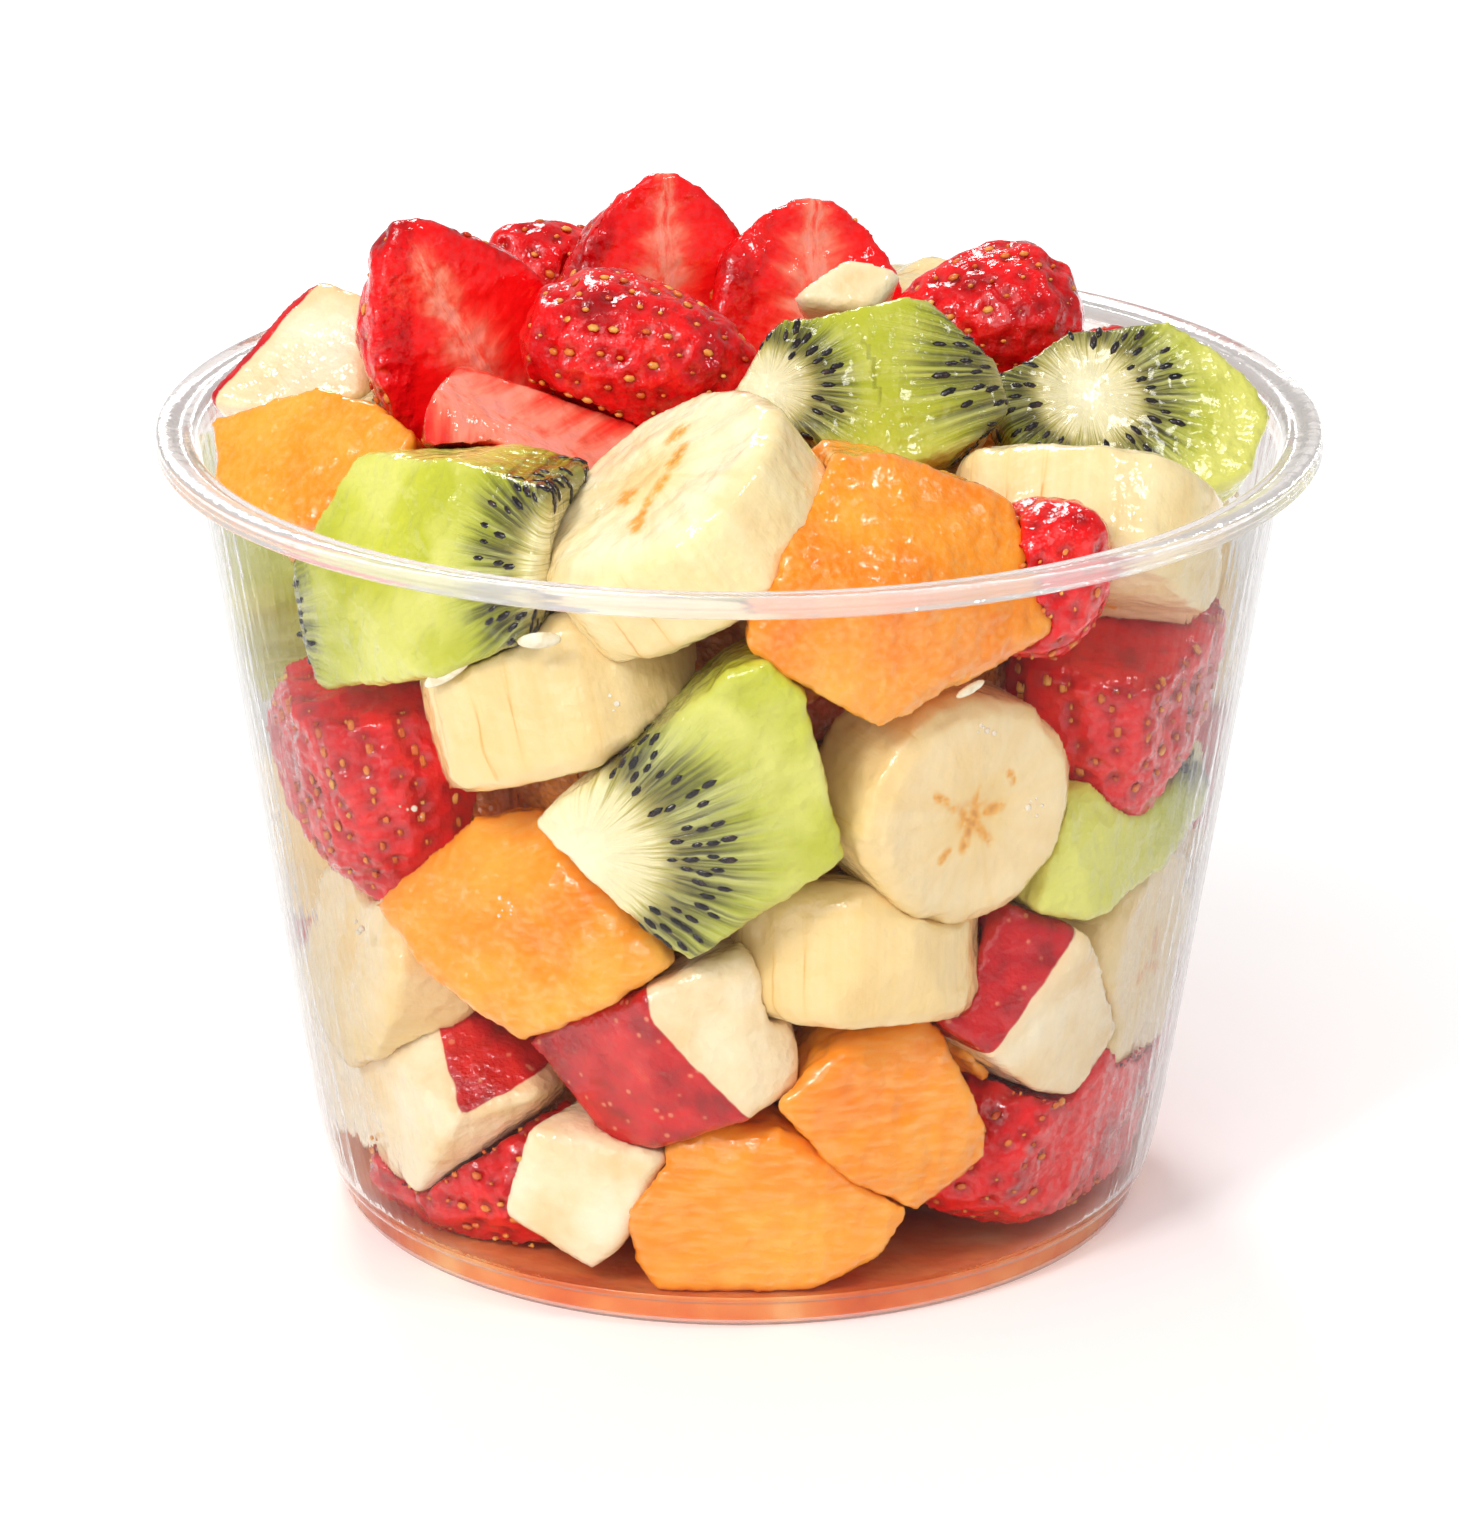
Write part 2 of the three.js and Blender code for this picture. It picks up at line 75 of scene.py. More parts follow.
def shown_piece(name, bm):
    """Puts a finished bmesh into the scene as a smooth-shaded object at the origin."""
    mesh = bpy.data.meshes.new(name)
    bm.to_mesh(mesh)
    bm.free()
    mesh.shade_smooth()
    piece = bpy.data.objects.new(name, mesh)
    bpy.context.scene.collection.objects.link(piece)
    return piece


def turned_piece(name, section, turns):
    """A closed body of revolution about +Z from (radius, height) points in millimetres."""
    bm = bmesh.new()
    points = [bm.verts.new((radius * MM, 0, height * MM)) for radius, height in section]
    edges = [bm.edges.new(pair) for pair in zip(points, points[1:])]
    bmesh.ops.spin(
        bm, geom=points + edges, axis=(0, 0, 1), cent=(0, 0, 0), angle=2 * math.pi,
        steps=turns, use_merge=True,
    )
    bmesh.ops.remove_doubles(bm, verts=bm.verts, dist=1e-6)
    bmesh.ops.recalc_face_normals(bm, faces=bm.faces)
    return shown_piece(name, bm)


def wire(tree, kind, inputs=None, **settings):
    """Adds a shader node; inputs that are sockets are linked, others are set."""
    made = tree.nodes.new("ShaderNode" + kind)
    for key, value in settings.items():
        setattr(made, key, value)
    for key, value in (inputs or {}).items():
        if isinstance(value, bpy.types.NodeSocket):
            tree.links.new(value, made.inputs[key])
        else:
            made.inputs[key].default_value = value
    return made


def spread(tree, value, low, high, to_low=0.0, to_high=1.0):
    """Maps a value from low..high to to_low..to_high and clamps it."""
    inputs = {"Value": value, "From Min": low, "From Max": high,
              "To Min": to_low, "To Max": to_high}
    return wire(tree, "MapRange", inputs).outputs["Result"]


def colour(red, green, blue):
    """A display colour, 0 to 255 a channel, as the linear colour that a shader takes."""
    def linear(level):
        level /= 255
        return level / 12.92 if level <= 0.04045 else ((level + 0.055) / 1.055) ** 2.4
    return (linear(red), linear(green), linear(blue), 1)


def mixed(tree, factor, first, second):
    """The colour between first and second."""
    made = wire(tree, "Mix", {0: factor, 6: first, 7: second}, data_type="RGBA")
    return made.outputs[2]


def place_of(tree):
    """Object coordinates in millimetres."""
    raw = wire(tree, "TexCoord").outputs["Object"]
    return wire(tree, "VectorMath", {0: raw, "Scale": 1 / MM}, operation="SCALE").outputs[0]


def new_finish(name, **plain):
    """A material, its tree, shader and place socket, with the shader's plain values set."""
    made = bpy.data.materials.new(name)
    made.use_nodes = True
    shader = made.node_tree.nodes["Principled BSDF"]
    for key, value in plain.items():
        shader.inputs[key.replace("_", " ").title().replace("Ior", "IOR")].default_value = value
    return made, made.node_tree, shader, place_of(made.node_tree)


def surface(tree, shader, tone, height, depth, strength=1.0):
    """Feeds a colour, and a height through a bump so many millimetres deep, to the shader."""
    tree.links.new(tone, shader.inputs["Base Color"])
    made = wire(tree, "Bump", {"Height": height, "Distance": depth * MM, "Strength": strength})
    tree.links.new(made.outputs[0], shader.inputs["Normal"])


def noise_of(tree, vector, scale, detail=2.0, roughness=0.5):
    """A noise value with so many features per millimetre."""
    made = wire(tree, "TexNoise", {"Vector": vector, "Scale": scale, "Detail": detail,
                                   "Roughness": roughness})
    return made.outputs["Fac"]


def new_group(name, takes, gives):
    """A shader node group with a vector and values in and values out, and its two ends."""
    group = bpy.data.node_groups.new(name, "ShaderNodeTree")
    sockets = group.interface
    sockets.new_socket("Vector", in_out="INPUT", socket_type="NodeSocketVector")
    for key in takes:
        sockets.new_socket(key, in_out="INPUT", socket_type="NodeSocketFloat")
    for key in gives:
        sockets.new_socket(key, in_out="OUTPUT", socket_type="NodeSocketFloat")
    given = group.nodes.new("NodeGroupInput").outputs
    put = group.nodes.new("NodeGroupOutput").inputs
    return group, given, put


def drawn_sheet_group():
    """Drawn plastic: slow clouds, the roughness that they give, and upright drawing lines."""
    group, given, put = new_group("drawn_sheet", ("Clearest", "Cloudiest"),
                                  ("Cloud", "Roughness", "Height"))
    cloud = noise_of(group, given["Vector"], 0.06)
    clouding = spread(group, cloud, 0.35, 0.7, given["Clearest"], given["Cloudiest"])
    drawn = wire(group, "Mapping", {"Vector": given["Vector"], "Scale": (0.5, 0.5, 0.06)})
    group.links.new(cloud, put["Cloud"])
    group.links.new(clouding, put["Roughness"])
    group.links.new(noise_of(group, drawn.outputs[0], 1.0, 3.0), put["Height"])
    return group


drawn_sheet = drawn_sheet_group()


def plastic(name, clearest, cloudiest, thin, thick, **plain):
    """Clear plastic: its roughness range, and its tint seen face on and turned away."""
    made, tree, shader, place = new_finish(name, **plain)
    sheet = wire(tree, "Group", {"Vector": place, "Clearest": clearest,
                                 "Cloudiest": cloudiest}, node_tree=drawn_sheet).outputs
    tint = mixed(tree, sheet["Cloud"], thin, colour(250, 250, 249))
    turned_away = wire(tree, "LayerWeight", {"Blend": 0.5}).outputs["Facing"]
    tint = mixed(tree, spread(tree, turned_away, 0.3, 0.95), tint, thick)
    tree.links.new(sheet["Roughness"], shader.inputs["Roughness"])
    surface(tree, shader, tint, sheet["Height"], 0.3, 0.45)
    return made


clear_plastic = plastic(
    "clear_plastic", 0.02, 0.06, colour(243, 243, 242), colour(150, 144, 141),
    transmission_weight=1.0, ior=1.12, sheen_weight=0.85, sheen_roughness=0.26)
milky_lip = plastic(
    "milky_lip", 0.05, 0.12, colour(238, 230, 224), colour(206, 196, 190),
    transmission_weight=0.72, ior=1.38, sheen_weight=0.5, sheen_roughness=0.3)

cup = turned_piece("clear_cup_shell", cup_section, CUP_TURNS)
cup.data.materials.append(clear_plastic)
cup.data.materials.append(milky_lip)
for face in cup.data.polygons:
    height = face.center.z / MM
    face.material_index = int(height > LIP_FOOT or height < RING_TOP)
cup.visible_diffuse = cup.visible_glossy = cup.visible_shadow = False
rounding = cup.modifiers.new("rounding", "SUBSURF")
rounding.levels = rounding.render_levels = 1
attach(cup, "root")
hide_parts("cup")

# ---- The juice ----
# Fruit juice that has run down and pooled on the cup's floor and in the channel of its foot
# ring, cloudy and orange-pink. It wets the wall all round, so it reaches just into it.
JUICE_TURNS = 96

juice_section = [
    (0, 1.9), (36.0, 1.9), (36.9, 1.7), (37.3, 1.0), (37.9, 0.45), (40.2, 0.45),
    (40.75, 1.0), (40.95, 2.7), (41.6, 3.3), (41.9, 3.75), (41.2, 3.5), (39, 3.35), (0, 3.3),
]


def calc(tree, operation, *values):
    """The output of a Math node."""
    return wire(tree, "Math", dict(enumerate(values)), operation=operation).outputs[0]


def bands(tree, value, stops):
    """A colour ramp from stops of (position, display colour)."""
    made = wire(tree, "ValToRGB", {"Fac": value})
    elements = made.color_ramp.elements
    for place, (position, shade) in enumerate(stops):
        element = elements[place] if place < 2 else elements.new(position)
        element.position = position
        element.color = colour(*shade)
    return made.outputs["Color"]


def juicy_group():
    """Wet fruit: patches of wetter and drier skin, and the fine uneven height of cut flesh."""
    group, given, put = new_group("juicy_surface", ("Cells per mm", "Wettest", "Driest"),
                                  ("Roughness", "Height"))
    vector = given["Vector"]
    patches = noise_of(group, vector, 0.35, 3.0)
    wet = spread(group, patches, 0.35, 0.65, given["Wettest"], given["Driest"])
    cells = wire(group, "TexVoronoi", {"Vector": vector, "Scale": given["Cells per mm"]})
    swell = calc(group, "ADD", calc(group, "MULTIPLY", cells.outputs["Distance"], 0.6),
                 noise_of(group, vector, 0.7, 2.0))
    grit = calc(group, "MULTIPLY", noise_of(group, vector, 2.4, 1.0), 0.16)
    group.links.new(wet, put["Roughness"])
    group.links.new(calc(group, "ADD", swell, grit), put["Height"])
    return group


juicy_surface = juicy_group()


def juicy(tree, shader, vector, cells, wettest, driest):
    """Places the wet-fruit group, feeds the shader's roughness and gives the height."""
    made = wire(tree, "Group", {"Vector": vector, "Cells per mm": cells, "Wettest": wettest,
                                "Driest": driest}, node_tree=juicy_surface)
    tree.links.new(made.outputs["Roughness"], shader.inputs["Roughness"])
    return made.outputs["Height"]


cloudy_juice, tree, shader, place = new_finish(
    "cloudy_juice", specular_ior_level=0.45, subsurface_weight=0.15, subsurface_scale=0.004,
    subsurface_radius=(1.0, 0.35, 0.2))
swirl = bands(tree, noise_of(tree, place, 0.09, 3.0), [
    (0.3, (206, 84, 40)), (0.45, (230, 118, 62)), (0.6, (238, 148, 84)),
    (0.72, (246, 182, 122))])
surface(tree, shader, swirl, juicy(tree, shader, place, 0.8, 0.05, 0.2), 0.1)

juice = turned_piece("pooled_juice", juice_section, JUICE_TURNS)
juice.data.materials.append(cloudy_juice)
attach(juice, "root")
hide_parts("juice")

# ---- The fruit inside ----
# The chunks that lie deeper in the cup, seen in the gaps between the outer ones. Their colours
# carry painted shade, a wet dark orange, and near the top of the heap, where light falls in, the
# painted shade gives way to brighter fruit colours. Lying tight together, they carry it.
CORE_TURNS = 96
CORE_INSET = 13  # how far the core lies behind the outside of the wall
HEAP_FOOT, HEAP_LIT = 70, 77  # from the one height to the other the painted shade gives way to the lit fruit colours
OPEN_HEIGHT = 80.5  # above this the wall no longer holds the fruit in
WALL_GAP = 0.12
WAVES, WAVES_SUM = 14, 4  # so many waves are added up, and come to about this much

inner_section = [(0, 3.0), (27, 3.0), (29.5, 6)]
inner_section += [(outer_radius(z) - CORE_INSET, z) for z in (12, 24, 36, 48, 60, 68)]
inner_section += [(38, 73), (33, 77), (27, 81), (18, 84), (9, 85), (0, 85)]


def read_rows(items, name):
    """A three-part property of all vertices or faces as rows."""
    flat = np.empty(len(items) * 3, np.float32)
    items.foreach_get(name, flat)
    return flat.reshape(-1, 3)


def places_of(piece):
    """The vertices' places in millimetres, one row each."""
    return read_rows(piece.data.vertices, "co") / MM


def put_at(piece, at):
    """Places the vertices, in millimetres, and keeps them inside the cup's wall."""
    reach = np.hypot(at[:, 0], at[:, 1])
    room = np.where(at[:, 2] < OPEN_HEIGHT, outer_radius(at[:, 2]) - WALL - WALL_GAP, np.inf)
    at[:, :2] *= np.minimum(1, room / np.maximum(reach, 1))[:, None]
    piece.data.vertices.foreach_set("co", (at * MM).astype(np.float32).ravel())
    piece.data.update()


def push_out(piece, height):
    """Moves each vertex along its normal by its height in millimetres."""
    normals = read_rows(piece.data.vertices, "normal")
    put_at(piece, places_of(piece) + normals * height[:, None])


def wobble(at, lump, seed=1):
    """A smooth uneven value, about -1 to 1, at each place; lumps are so many mm across."""
    waves = np.random.default_rng(seed)
    ways = waves.normal(size=(3, WAVES)) * (2.2 / lump)
    return np.sin(at @ ways + waves.uniform(0, 2 * math.pi, WAVES)).sum(axis=1) / WAVES_SUM


def relief(at, *layers):
    """Wobbles on top of each other, each given as its depth and its lumps' size."""
    return sum(depth * wobble(at, lump, seed) for seed, (depth, lump) in enumerate(layers, 1))


inner = turned_piece("inner_fruit", inner_section, CORE_TURNS)
fine = bmesh.new()
fine.from_mesh(inner.data)
bmesh.ops.subdivide_edges(fine, edges=fine.edges, cuts=2, use_grid_fill=True)
fine.to_mesh(inner.data)
fine.free()
push_out(inner, relief(places_of(inner), (1.6, 10), (0.4, 2.5)))

inner_flesh, tree, shader, place = new_finish("inner_flesh", specular_ior_level=0.4)
lumps = wire(tree, "TexVoronoi", {"Vector": place, "Scale": 0.075, "Randomness": 0.9})
lump_shade = wire(tree, "SeparateColor", {"Color": lumps.outputs["Color"]}).outputs["Red"]
# Painted shade: darkened copies of the chunks' colours, as they look deep in the gaps.
chunk_shade_tones = bands(tree, lump_shade, [
    (0.0, (204, 100, 28)), (0.3, (208, 136, 54)), (0.5, (176, 62, 20)),
    (0.72, (216, 154, 70)), (1.0, (160, 46, 20))])
heaped = bands(tree, lump_shade, [
    (0.0, (248, 152, 54)), (0.3, (214, 32, 30)), (0.5, (246, 220, 164)),
    (0.72, (246, 144, 48)), (1.0, (200, 24, 28))])
# Painted light: from HEAP_FOOT up to HEAP_LIT the shaded colours give way to the lit ones.
height = wire(tree, "SeparateXYZ", {"Vector": place}).outputs["Z"]
heap_top_light = spread(tree, height, HEAP_FOOT, HEAP_LIT)
chunk_shade_tones = mixed(tree, heap_top_light, chunk_shade_tones, heaped)
# Painted shade: dark brown clouds laid over the chunks, weaker at the lit top of the heap.
gap_shade = spread(tree, noise_of(tree, place, 0.3, 4.0, 0.6), 0.35, 0.7, 0.0, 0.75)
gap_shade = calc(tree, "MULTIPLY", gap_shade, spread(tree, heap_top_light, 0, 1, 1.0, 0.35))
tone = mixed(tree, gap_shade, chunk_shade_tones, colour(104, 44, 12))
surface(tree, shader, tone, juicy(tree, shader, place, 1.2, 0.06, 0.25), 0.8)
inner.data.materials.append(inner_flesh)
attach(inner, "root")
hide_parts("fruit_core")

# ---- Strawberries ----
# Ripe strawberries, whole, halved or in wedges, with the green caps trimmed off. The skin is
# dimpled, with one golden seed in each dimple; cut faces show a pale heart and red rim.
BERRY_VOXEL = 0.45
BACK_BERRY_VOXEL = 0.6
EASING = 3  # how often the cut edges are softened
SHOULDER = 0.36  # the share of a berry's length that its rounded shoulder takes
FREE_BERRY = 1.08  # the most that a berry in the heap fills out
SEED_SPACING = 2.9
SEED_AREA = 0.87 * SEED_SPACING ** 2
SEED_TURN = 2.39996  # the angle from one seed to the next, which lets no rows form
SEED_REACH = 2.4  # how far the skin may lie from a seed's ideal place
SEED_MARGIN = 0.9  # how far the seeds stay from a cut face
PIT_DEPTH = 0.42
PIT_REACH = 0.85
NO_CUT = 9.0  # a depth deeper than any cut reaches

# Each: middle, way the tip points (azimuth, elevation), radius, length, and its cuts as
# (azimuth and elevation that the cut faces, distance from the middle).
berries = {
    "strawberry_left": ((-34.5, -20, 50.5), (50, -72), 12, 30, []),
    "strawberry_right": ((35.5, -21, 60), (10, -70), 13, 28, []),
    "strawberry_low_left": ((-23, -21, 10.5), (38, -4), 11.5, 34, []),
    "strawberry_low_right": ((28, -22, 16), (-46, -18), 13, 33, []),
    "strawberry_rim_right": ((28.6, -36.5, 76.9), (60, 50), 7.5, 18, []),
    "strawberry_wedge": ((-17.6, -23, 84.3), (72, -8), 11.5, 27,
                         [(35, 52, 0.4), (133.6, 65.7, 5.5)]),
    "strawberry_whole_centre": ((-9, -12, 91), (80, -8), 7.8, 26, []),
    "strawberry_half_left": ((-28, -8, 92.2), (-70, 62), 10.5, 27, [(28, 8, 2)]),
    "strawberry_half_centre": ((-8, 8, 91), (30, 76), 11, 31, [(18, 12, 2)]),
    "strawberry_half_right": ((6.8, 9, 90), (40, 70), 10.7, 29, [(20, 22, 2)]),
    "strawberry_whole_right": ((24.7, 9, 88.7), (-82, -4), 7.7, 21, []),
    "strawberry_back_left": ((-18.5, 17, 90.5), (-60, 40), 6.8, 19, []),
    "strawberry_back_11": ((34.2, 6.3, 17.6), (190.5, -27.5), 12.7, 32.4, []),
    "strawberry_back_22": ((25, 27.2, 38.5), (227.4, -43.1), 14.1, 36, []),
    "strawberry_back_33": ((0.1, 40.5, 64), (269.9, -30.4), 14.6, 37.2, []),
    "strawberry_back_top_1": ((34.9, 9, 74.1), (194.5, -47.7), 11.8, 30, []),
}

# Where the skin laps over the left edge of a half, as (azimuth, elevation, distance).
lapped = {
    "strawberry_half_left": (-62, 6, 5.2),
    "strawberry_half_centre": (-72, 20, 7),
    "strawberry_half_right": (-70, 24, 6.2),
}

# Where a berry is pressed down under its neighbour, as (from this x on, height).
pressed = {"strawberry_low_right": (37.5, 21)}

# How many times wider the pale heart spreads where the cut runs close to it.
pale_hearted = {"strawberry_wedge": 3, "strawberry_half_right": 1.3}


def heading(azimuth, elevation):
    """A unit vector; azimuth 0 is the front, 90 the right, 180 the back."""
    a, e = math.radians(azimuth), math.radians(elevation)
    return Vector((math.sin(a) * math.cos(e), -math.cos(a) * math.cos(e), math.sin(e)))


def lying_along(direction):
    """A turn that takes +Z to the direction."""
    return np.array(Vector(direction).to_track_quat("Z", "Y").to_matrix())


def fruit_piece(node, voxel):
    """A fruit piece from its solid: closed up, given small even faces and eased edges."""
    bm = bmesh.new()
    bm.from_mesh(nodes[node].data)
    bmesh.ops.remove_doubles(bm, verts=bm.verts, dist=1e-6)
    rough = shown_piece(node + "_rough", bm)
    evened = rough.modifiers.new("evened", "REMESH")
    evened.mode = "VOXEL"
    evened.voxel_size = voxel * MM
    graph = bpy.context.evaluated_depsgraph_get()
    mesh = bpy.data.meshes.new_from_object(rough.evaluated_get(graph))
    bpy.data.objects.remove(rough)
    bm = bmesh.new()
    bm.from_mesh(mesh)
    bpy.data.meshes.remove(mesh)
    for _ in range(EASING):
        bmesh.ops.smooth_vert(bm, verts=bm.verts, factor=0.5, use_axis_x=True,
                              use_axis_y=True, use_axis_z=True)
    piece = shown_piece(node + "_fruit", bm)
    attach(piece, "root")
    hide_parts(node)
    return piece


def stamp(piece, name, values):
    """Writes one value or one vector for each vertex as a named attribute."""
    values = np.asarray(values, np.float32)
    kind = "FLOAT_VECTOR" if values.ndim == 2 else "FLOAT"
    attribute = piece.data.attributes.new(name, kind, "POINT")
    attribute.data.foreach_set("vector" if values.ndim == 2 else "value", values.ravel())


def berry_radius(share, radius):
    """The berry's radius at a share of its length from the shoulder, 0, to the tip, 1."""
    share = np.clip(share, 0, 1)
    rounded = np.sqrt(1 - (np.clip(SHOULDER - share, 0, None) / SHOULDER) ** 2.4)
    pointed = 1 - (np.clip(share - SHOULDER, 0, None) / (1 - SHOULDER)) ** 1.9
    return radius * rounded * pointed ** 0.75


def seed_places(radius, length):
    """Points spiralling over the berry's skin, evenly spaced, in its own frame."""
    slices = 200
    shares = (np.arange(slices) + 0.5) / slices
    area = np.cumsum(2 * math.pi * berry_radius(shares, radius) * length / slices)
    count = int(area[-1] / SEED_AREA)
    index = np.arange(count)
    share = np.interp((index + 0.5) / count * area[-1], area, shares)
    angle = SEED_TURN * index + 0.12 * np.sin(index * 1.7)
    reach = berry_radius(share, radius)
    return np.column_stack([reach * np.cos(angle), reach * np.sin(angle),
                            (share - 0.5) * length])


def fill_out(local, full, on_side, most):
    """Moves a round side out to its full radius, by a factor of at most so much."""
    flat = np.maximum(np.hypot(local[:, 0], local[:, 1]), 1)
    local[:, :2] *= (1 + on_side * (np.clip(full / flat, 1, most) - 1))[:, None]


def depth_under(at, middle, planes):
    """How deep each place lies under the nearest cut face, in millimetres."""
    depths = [distance - (at - middle) @ facing for facing, distance in planes]
    return np.min(depths, axis=0) if depths else np.full(len(at), NO_CUT)


def find_pits(piece, ideals, middle, planes):
    """Each seed's place on the skin and the way out there; none on a cut face."""
    bm = bmesh.new()
    bm.from_mesh(piece.data)
    skin = BVHTree.FromBMesh(bm)
    bm.free()
    pits = []
    for ideal in ideals:
        spot, normal, _, distance = skin.find_nearest(Vector(ideal) * MM)
        spot = spot / MM
        under = depth_under(np.array([spot]), middle, planes)[0]
        if distance < SEED_REACH * MM and under > SEED_MARGIN:
            pits.append((spot, normal))
    return pits


def ball_form(name, around, up):
    """A unit ball, copied and shaped for each grain."""
    form = bpy.data.meshes.new(name)
    ball = bmesh.new()
    bmesh.ops.create_uvsphere(ball, u_segments=around, v_segments=up, radius=1)
    ball.to_mesh(form)
    ball.free()
    return form


seed_form = ball_form("seed_form", 6, 4)


def add_seed(bm, middle, along, out, size, form=seed_form):
    """Adds a small grain to a bmesh; size is its half length, half width and half height."""
    side = along.cross(out).normalized()
    turn = Matrix((side * size[1], along.normalized() * size[0], out * size[2])).transposed()
    grain = form.copy()
    grain.transform(Matrix.Translation(middle * MM) @ (turn * MM).to_4x4())
    bm.from_mesh(grain)
    bpy.data.meshes.remove(grain)


strawberry_flesh, tree, shader, place = new_finish(
    "strawberry_flesh", specular_ior_level=0.3, subsurface_weight=0.12, subsurface_scale=0.003,
    subsurface_radius=(1.0, 0.25, 0.15), coat_roughness=0.04)


def streaks_group():
    """Streaks that run out from a fruit's core, and the distance from it."""
    group, given, put = new_group("core_streaks", ("Spokes", "Run"), ("Streak", "Distance"))
    parts = wire(group, "SeparateXYZ", {"Vector": given["Vector"]}).outputs
    flat = wire(group, "CombineXYZ", {"X": parts["X"], "Y": parts["Y"]}).outputs[0]
    far = wire(group, "VectorMath", {0: flat}, operation="LENGTH").outputs["Value"]
    way = wire(group, "VectorMath", {0: flat}, operation="NORMALIZE").outputs[0]
    ring = wire(group, "VectorMath", {0: way, "Scale": given["Spokes"]},
                operation="SCALE").outputs[0]
    rise = calc(group, "MULTIPLY", calc(group, "ADD", far, parts["Z"]), given["Run"])
    lift = wire(group, "CombineXYZ", {"Z": rise}).outputs[0]
    spot = wire(group, "VectorMath", {0: ring, 1: lift}, operation="ADD").outputs[0]
    grain = noise_of(group, spot, 1.0, 3.0, 0.6)
    group.links.new(spread(group, grain, 0.3, 0.7), put["Streak"])
    group.links.new(far, put["Distance"])
    return group


core_streaks = streaks_group()


def streaks(tree, vector, spokes, run):
    """Places the streak group and gives its streak and distance."""
    made = wire(tree, "Group", {"Vector": vector, "Spokes": spokes, "Run": run},
                node_tree=core_streaks)
    return made.outputs["Streak"], made.outputs["Distance"]


def stamped(tree, name, output="Vector"):
    """A vertex attribute as a socket."""
    return wire(tree, "Attribute", attribute_name=name).outputs[output]


def tinted(tree, base, tint, value, low, high, most):
    """The colour with a tint laid over it, from none where a value is low to the most."""
    return mixed(tree, spread(tree, value, low, high, 0.0, most), base, tint)


cut = stamped(tree, "cut", "Fac")
streak, out = streaks(tree, stamped(tree, "grain"), 1.2, 0.42)
ripple = calc(tree, "ADD", out, spread(tree, streak, 0, 1, -0.12, 0.16))
heart = bands(tree, ripple, [
    (0.0, (246, 150, 134)), (0.1, (252, 146, 120)), (0.2, (252, 104, 80)),
    (0.3, (252, 58, 46)), (0.42, (250, 26, 24)), (0.85, (244, 10, 16)),
    (1.0, (208, 4, 8))])
ripeness = noise_of(tree, place, 0.14, 3.0)
skin = bands(tree, ripeness, [
    (0.28, (164, 4, 10)), (0.42, (218, 10, 16)), (0.56, (240, 18, 22)),
    (0.8, (246, 48, 36))])
blotches = noise_of(tree, place, 1.1, 3.0, 0.65)
skin = tinted(tree, skin, colour(140, 2, 8), blotches, 0.52, 0.72, 0.5)
# Painted shade: the skin darkens in the seed dimples.
pit_shade = stamped(tree, "pit_shade", "Fac")
skin = mixed(tree, calc(tree, "MULTIPLY", pit_shade, 0.6), skin, colour(104, 2, 8))
wet = juicy(tree, shader, place, 0.8, 0.04, 0.1)
rough_skin = calc(tree, "MULTIPLY", wet, spread(tree, cut, 0, 1, 1.0, 0.35))
fibre = calc(tree, "MULTIPLY", calc(tree, "MULTIPLY", streak, cut), 0.2)
film = spread(tree, noise_of(tree, place, 1.3, 3.0), 0.44, 0.56, 0.05, 0.8)
tree.links.new(film, shader.inputs["Coat Weight"])
height = calc(tree, "ADD", rough_skin, fibre)
surface(tree, shader, mixed(tree, cut, skin, heart), height, 0.36)


def seed_finish(name, wander, stops, wetness, depth):
    """A seed's coat: how its tone wanders, its tones, how wet it is and how uneven."""
    made, tree, shader, place = new_finish(name)
    tone = bands(tree, noise_of(tree, place, *wander), stops)
    surface(tree, shader, tone, juicy(tree, shader, place, *wetness), depth)
    return made


golden_seed = seed_finish("golden_seed", (0.35, 2.0), [
    (0.3, (196, 56, 24)), (0.5, (224, 120, 40)), (0.7, (246, 190, 90))],
    (3.0, 0.15, 0.35), 0.05)

